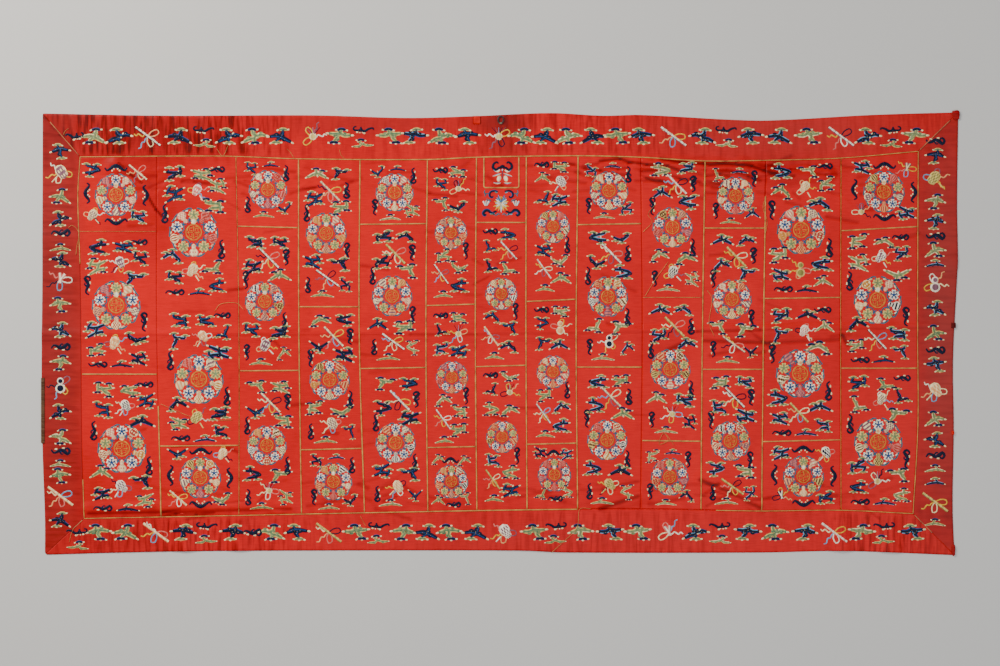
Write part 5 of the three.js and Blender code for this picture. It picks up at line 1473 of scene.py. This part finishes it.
for side in (-1, 1):
    across = lambda spots: [(lotus_x + side * x, lotus_y + y) for x, y in spots]
    for width, dyes, spots in (
        (7.0, ["blue", "navy", "navy"], ((9, 31), (19, 33), (29, 29), (31, 20), (25, 15), (21, 19))),
        (5.0, ["sky", "green"], ((10, 28), (17, 30))),
        (4.2, ["tendril"], ((34, 26), (41, 25), (45, 28), (43, 35))),
        (4.2, ["tendril"], ((41, 25), (44, 18))),
        (4.2, ["tendril"], ((27, 4), (31, 9), (35, 7), (39, 13))),
        (9.6, ["blue", "navy", "navy"],
         ((18, -29), (29, -24), (35, -19), (43, -20), (48, -27), (44, -33), (40, -29))),
        (6.0, ["sky", "green"], ((17, -28), (30, -29))), (6.0, ["navy"], ((12, -22), (22, -24))),
        (4.4, ["tendril"], ((3, -31), (8, -28), (13, -32), (20, -31))),
    ):
        stroke(centre_work, across(spots), width, dyes, 1.1, (0.7, 1, 1, 0.6), 3)
    for x, y, reach_y in ((-7, 3, 12), (0, 0, 14), (7, 3, 12)):
        petal = ((SIDE_FLOWER + x * 0.3, -7), (SIDE_FLOWER + x, y + 1), (SIDE_FLOWER + x * 1.1, reach_y - 6))
        stroke(centre_work, across(petal), 6, ["sky", "white"], 1.5, (0.5, 1, 0.3), 2)
    disc(centre_work, across(((SIDE_FLOWER, 1),))[0], 6, 6, ["yellow"], 1.9)
embroider("embroidered_centre", centre_work)

# Fastenings: a tab of bright silk doubled over at the top edge, and beside it a loop of dark cord with a
# worn metal-green whipping at its foot. They are what is left of two fastenings, sewn to the face.
tab_silk = satin("bright_tab_silk", ("#c41206", "#dc1e0c"), "#e6cfc9", 0.5, False)
TAB_X, TAB_FOLD_Y, TAB_HALF_WIDTH, TAB_LENGTH = -64, 579, 9, 22
TAB_LEAF, TAB_SLOT, TAB_SET_BACK = 1.1, 0.9, 3
TAB_SEAT = CLOTH_THICKNESS + SEAM_GAP
tab_height = 2 * TAB_LEAF + TAB_SLOT


def tab_line(inset):
    """The doubled strip's outer or inner face, from the lower leaf round the fold to the upper one."""
    radius = tab_height / 2 - inset
    bend_at = -tab_height / 2
    low = [(y, inset) for y in np.linspace(-TAB_LENGTH, bend_at, 8)[:-1]]
    turn = [
        (bend_at + radius * math.cos(a), tab_height / 2 + radius * math.sin(a))
        for a in np.linspace(-math.pi / 2, math.pi / 2, 9)
    ]
    high = [(y, tab_height - inset) for y in np.linspace(bend_at, -TAB_LENGTH + TAB_SET_BACK, 8)[1:]]
    return np.array(low + turn + high)


outer_face, inner_face = tab_line(0.0), tab_line(TAB_LEAF)
tab_across = np.linspace(-1, 1, 9)
tab_points = []
for line in (outer_face, inner_face):
    for k, (y, z) in enumerate(line):
        for p in tab_across:
            # The upper leaf is a little crushed and skewed.
            crush = 0.5 * math.sin(2.6 * p + k * 0.5) * (z > tab_height / 2)
            skew = 1.2 * math.sin(k * 0.32) * p
            tab_x = TAB_X + p * TAB_HALF_WIDTH + 0.1 * skew
            tab_points.append((tab_x, TAB_FOLD_Y + y, TAB_SEAT + z + crush))
rows, ranks = len(outer_face), len(tab_across)
outer_index = np.arange(rows * ranks).reshape(rows, ranks)
inner_index = outer_index + rows * ranks
tab_quads = [grid_quads(rows, ranks)[:, ::-1], grid_quads(rows, ranks, rows * ranks)]
for a, b, turn in (
    (outer_index[0], inner_index[0], 1), (outer_index[-1], inner_index[-1], -1),
    (outer_index[:, 0], inner_index[:, 0], -1), (outer_index[:, -1], inner_index[:, -1], 1),
):
    tab_quads.append(np.stack([a[:-1], a[1:], b[1:], b[:-1]], -1)[:, ::turn])
top_tab = mesh_from("silk_tab_top", tab_points, tab_quads, [tab_silk])
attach(top_tab, "root")
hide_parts("tab_top")

loop_cord = braid("dark_silk_cord", ("#1a0403", "#401410"), 1.5)
loop_whipping = braid("green_brass_whipping", ("#4c5340", "#8a8c72"), 1.0)
LOOP_X, LOOP_Y, LOOP_HALF_WIDTH, LOOP_HALF_LENGTH, LOOP_CORD = 0.5, 569, 9.5, 11.8, 2.25
LOOP_STEPS, LOOP_SIDES = 56, 12
loop_points = []
for i in range(LOOP_STEPS):
    angle = 2 * math.pi * i / LOOP_STEPS
    middle_x = (LOOP_HALF_WIDTH - LOOP_CORD) * math.cos(angle)
    middle_y = (LOOP_HALF_LENGTH - LOOP_CORD) * math.sin(angle)
    for j in range(LOOP_SIDES):
        around = 2 * math.pi * j / LOOP_SIDES
        # Two strands twisted together, and thicker at the foot, where the whipping goes round.
        is_foot = math.sin(angle) < -0.82
        thick = LOOP_CORD * (1.0 if is_foot else 0.9 + 0.08 * math.cos(2 * around + 7 * angle))
        outward = thick * math.cos(around)
        loop_points.append((
            LOOP_X + middle_x + outward * math.cos(angle), LOOP_Y + middle_y + outward * math.sin(angle),
            TAB_SEAT + LOOP_CORD + thick * math.sin(around),
        ))
loop_quads, loop_finish = [], []
for i in range(LOOP_STEPS):
    here, there = i * LOOP_SIDES, (i + 1) % LOOP_STEPS * LOOP_SIDES
    for j in range(LOOP_SIDES):
        k = (j + 1) % LOOP_SIDES
        loop_quads.append((here + j, there + j, there + k, here + k))
        loop_finish.append(1 if math.sin(2 * math.pi * (i + 0.5) / LOOP_STEPS) < -0.9 else 0)
cord_loop = mesh_from("cord_loop_top", loop_points, [loop_quads], [loop_cord, loop_whipping], loop_finish)
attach(cord_loop, "root")
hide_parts("loop_top")

# Crumpled scraps on the edges: two corner tabs, a stub and a knot of silk, and on the left edge a worn
# brown tape. They are caught down by a few stitches, and stand a little off the cloth.
old_tape = satin("worn_brown_tape", ("#4e3426", "#7d6048"), "#b09a86", 0.8, False)
knot_silk = satin("dark_red_knot_silk", ("#4a0c0c", "#7c1414"), "#c8a8a2", 0.55, False)
corner_silk = satin("crushed_crimson_silk", ("#8c0c12", "#bc161c"), "#c89c98", 0.5, False)
SCRAP_RANKS = 9
SCRAPS = (  # name, node, slot, left, right, bottom, top, ridge, slant, thickness, finish
    ("silk_tab_corner_top", "tab_corner_top", "tab_silk", 1205, 1226, 568, 595, 2.4, 0.9, 1.4, corner_silk),
    ("silk_tab_corner_bottom", "tab_corner_bottom", "tab_silk", 1204, 1214, -595, -564, 1.6, 0.4, 1.4,
     corner_silk),
    ("worn_tape_left", "strip_left", "old_tape", -1226, -1217, -294, -120, 0.5, 3.0, 1.5, old_tape),
    ("silk_knot_right", "stub_right_high", "dark_cord", 1203, 1215, 13, 27, 2.2, 1.6, 1.6, knot_silk),
    ("silk_stub_right", "stub_right_low", "tab_silk", 1204, 1211, -271, -261, 1.6, 1.2, 1.4, tab_silk),
)
for name, node, slot_name, left, right, bottom, top, rise, slant, thickness, finish in SCRAPS:
    along = max(9, round((top - bottom) / 3))
    u, v = np.meshgrid(np.linspace(0, 1, SCRAP_RANKS), np.linspace(0, 1, along), indexing="ij")
    crumple = np.sin(math.pi * u) * np.abs(np.sin(math.pi * (1.5 * v + slant * u)))
    if finish is corner_silk:
        # These are bunched into a rosette: round in outline, and folded two ways.
        bunched = np.abs(np.sin(9 * u + 2 * v) * np.sin(7 * v - 3 * u))
        crumple = (0.55 * crumple + 0.45 * bunched) * np.sin(math.pi * v) ** 0.3
        from_u, from_v = 2 * u - 1, 2 * v - 1
        away = np.maximum(np.hypot(from_u, from_v), 1e-6)
        round_off = 0.3 + 0.7 * np.maximum(abs(from_u), abs(from_v)) / away
        u, v = 0.5 + from_u / 2 * round_off, 0.5 + from_v / 2 * round_off
    # The outline wanders a little, so no scrap is a true rectangle.
    x = left + u * (right - left) + 0.05 * (right - left) * np.sin(5 * v + 9 * u) * (u > 0.01) * (u < 0.99)
    y = bottom + v * (top - bottom) + 0.04 * (right - left) * np.sin(7 * u + 2)
    high = TAB_SEAT + rise * crumple
    upper = np.stack([x, y, high + thickness], -1).reshape(-1, 3)
    lower = np.stack([x, y, high], -1).reshape(-1, 3)
    count = SCRAP_RANKS * along
    index = np.arange(count).reshape(SCRAP_RANKS, along)
    faces = [grid_quads(SCRAP_RANKS, along), grid_quads(SCRAP_RANKS, along, count)[:, ::-1]]
    for line, turn in ((index[:, 0], 1), (index[:, -1], -1), (index[0], -1), (index[-1], 1)):
        faces.append(np.stack([line[:-1] + count, line[1:] + count, line[1:], line[:-1]], -1)[:, ::turn])
    scrap = mesh_from(name, np.concatenate([upper, lower]), faces, [finish])
    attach(scrap, "root")
    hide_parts(node)

# Loose threads: fine gold couching thread that has come away from the seams and lies over the cloth,
# each a thin closed band that follows the folds.
THREADS = (  # photo pixels
    ((591, 508.6), (579.6, 509.4), (577, 527.6), (564, 541), (551.4, 552.5)),
    ((215, 311), (221, 304), (236, 303), (244, 310)),
    ((161, 404), (175, 410), (189.5, 416), (210, 420), (232.5, 420)),
    ((217, 149), (223, 156), (228, 146)),
    ((287, 149), (291, 153), (294, 158)),
    ((339.6, 149.8), (341, 155), (344.6, 158.9)),
    ((651, 428), (662, 431), (668, 440), (659, 444), (664, 433), (674, 445)),
    ((360.5, 516), (363, 521), (366, 526)),
    ((655, 205), (648, 214), (652, 222), (643, 232)),
    ((668, 262), (655, 280), (645, 296)),
    ((707, 290), (712, 300), (709, 322), (714, 336)),
    ((765.5, 197), (763, 208), (767, 222), (764, 240)),
    ((74, 528), (71.4, 534), (69.6, 542)),
    ((63.7, 134.7), (65.3, 131.2), (68.7, 128.6)),
    ((68.7, 227.5), (72.5, 225.5), (77.5, 229.5), (79.3, 236), (77.5, 245), (76.2, 255)),
)
THREAD_HALF = 0.55
THREAD_SECTION = (
    (-1, 0.7), (-1, 1.1), (-0.7, 1.5), (0, 1.7), (0.7, 1.5), (1, 1.1), (1, 0.7), (0, 0.45),
)
thread_bands = [
    closed_band(ribbon_net(smooth_path([at_pixel(*spot) for spot in line], 8), THREAD_HALF, THREAD_SECTION))
    for line in THREADS
]
loose_threads = join_bands("loose_gold_threads", thread_bands, gold_braid)
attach(loose_threads, "root")
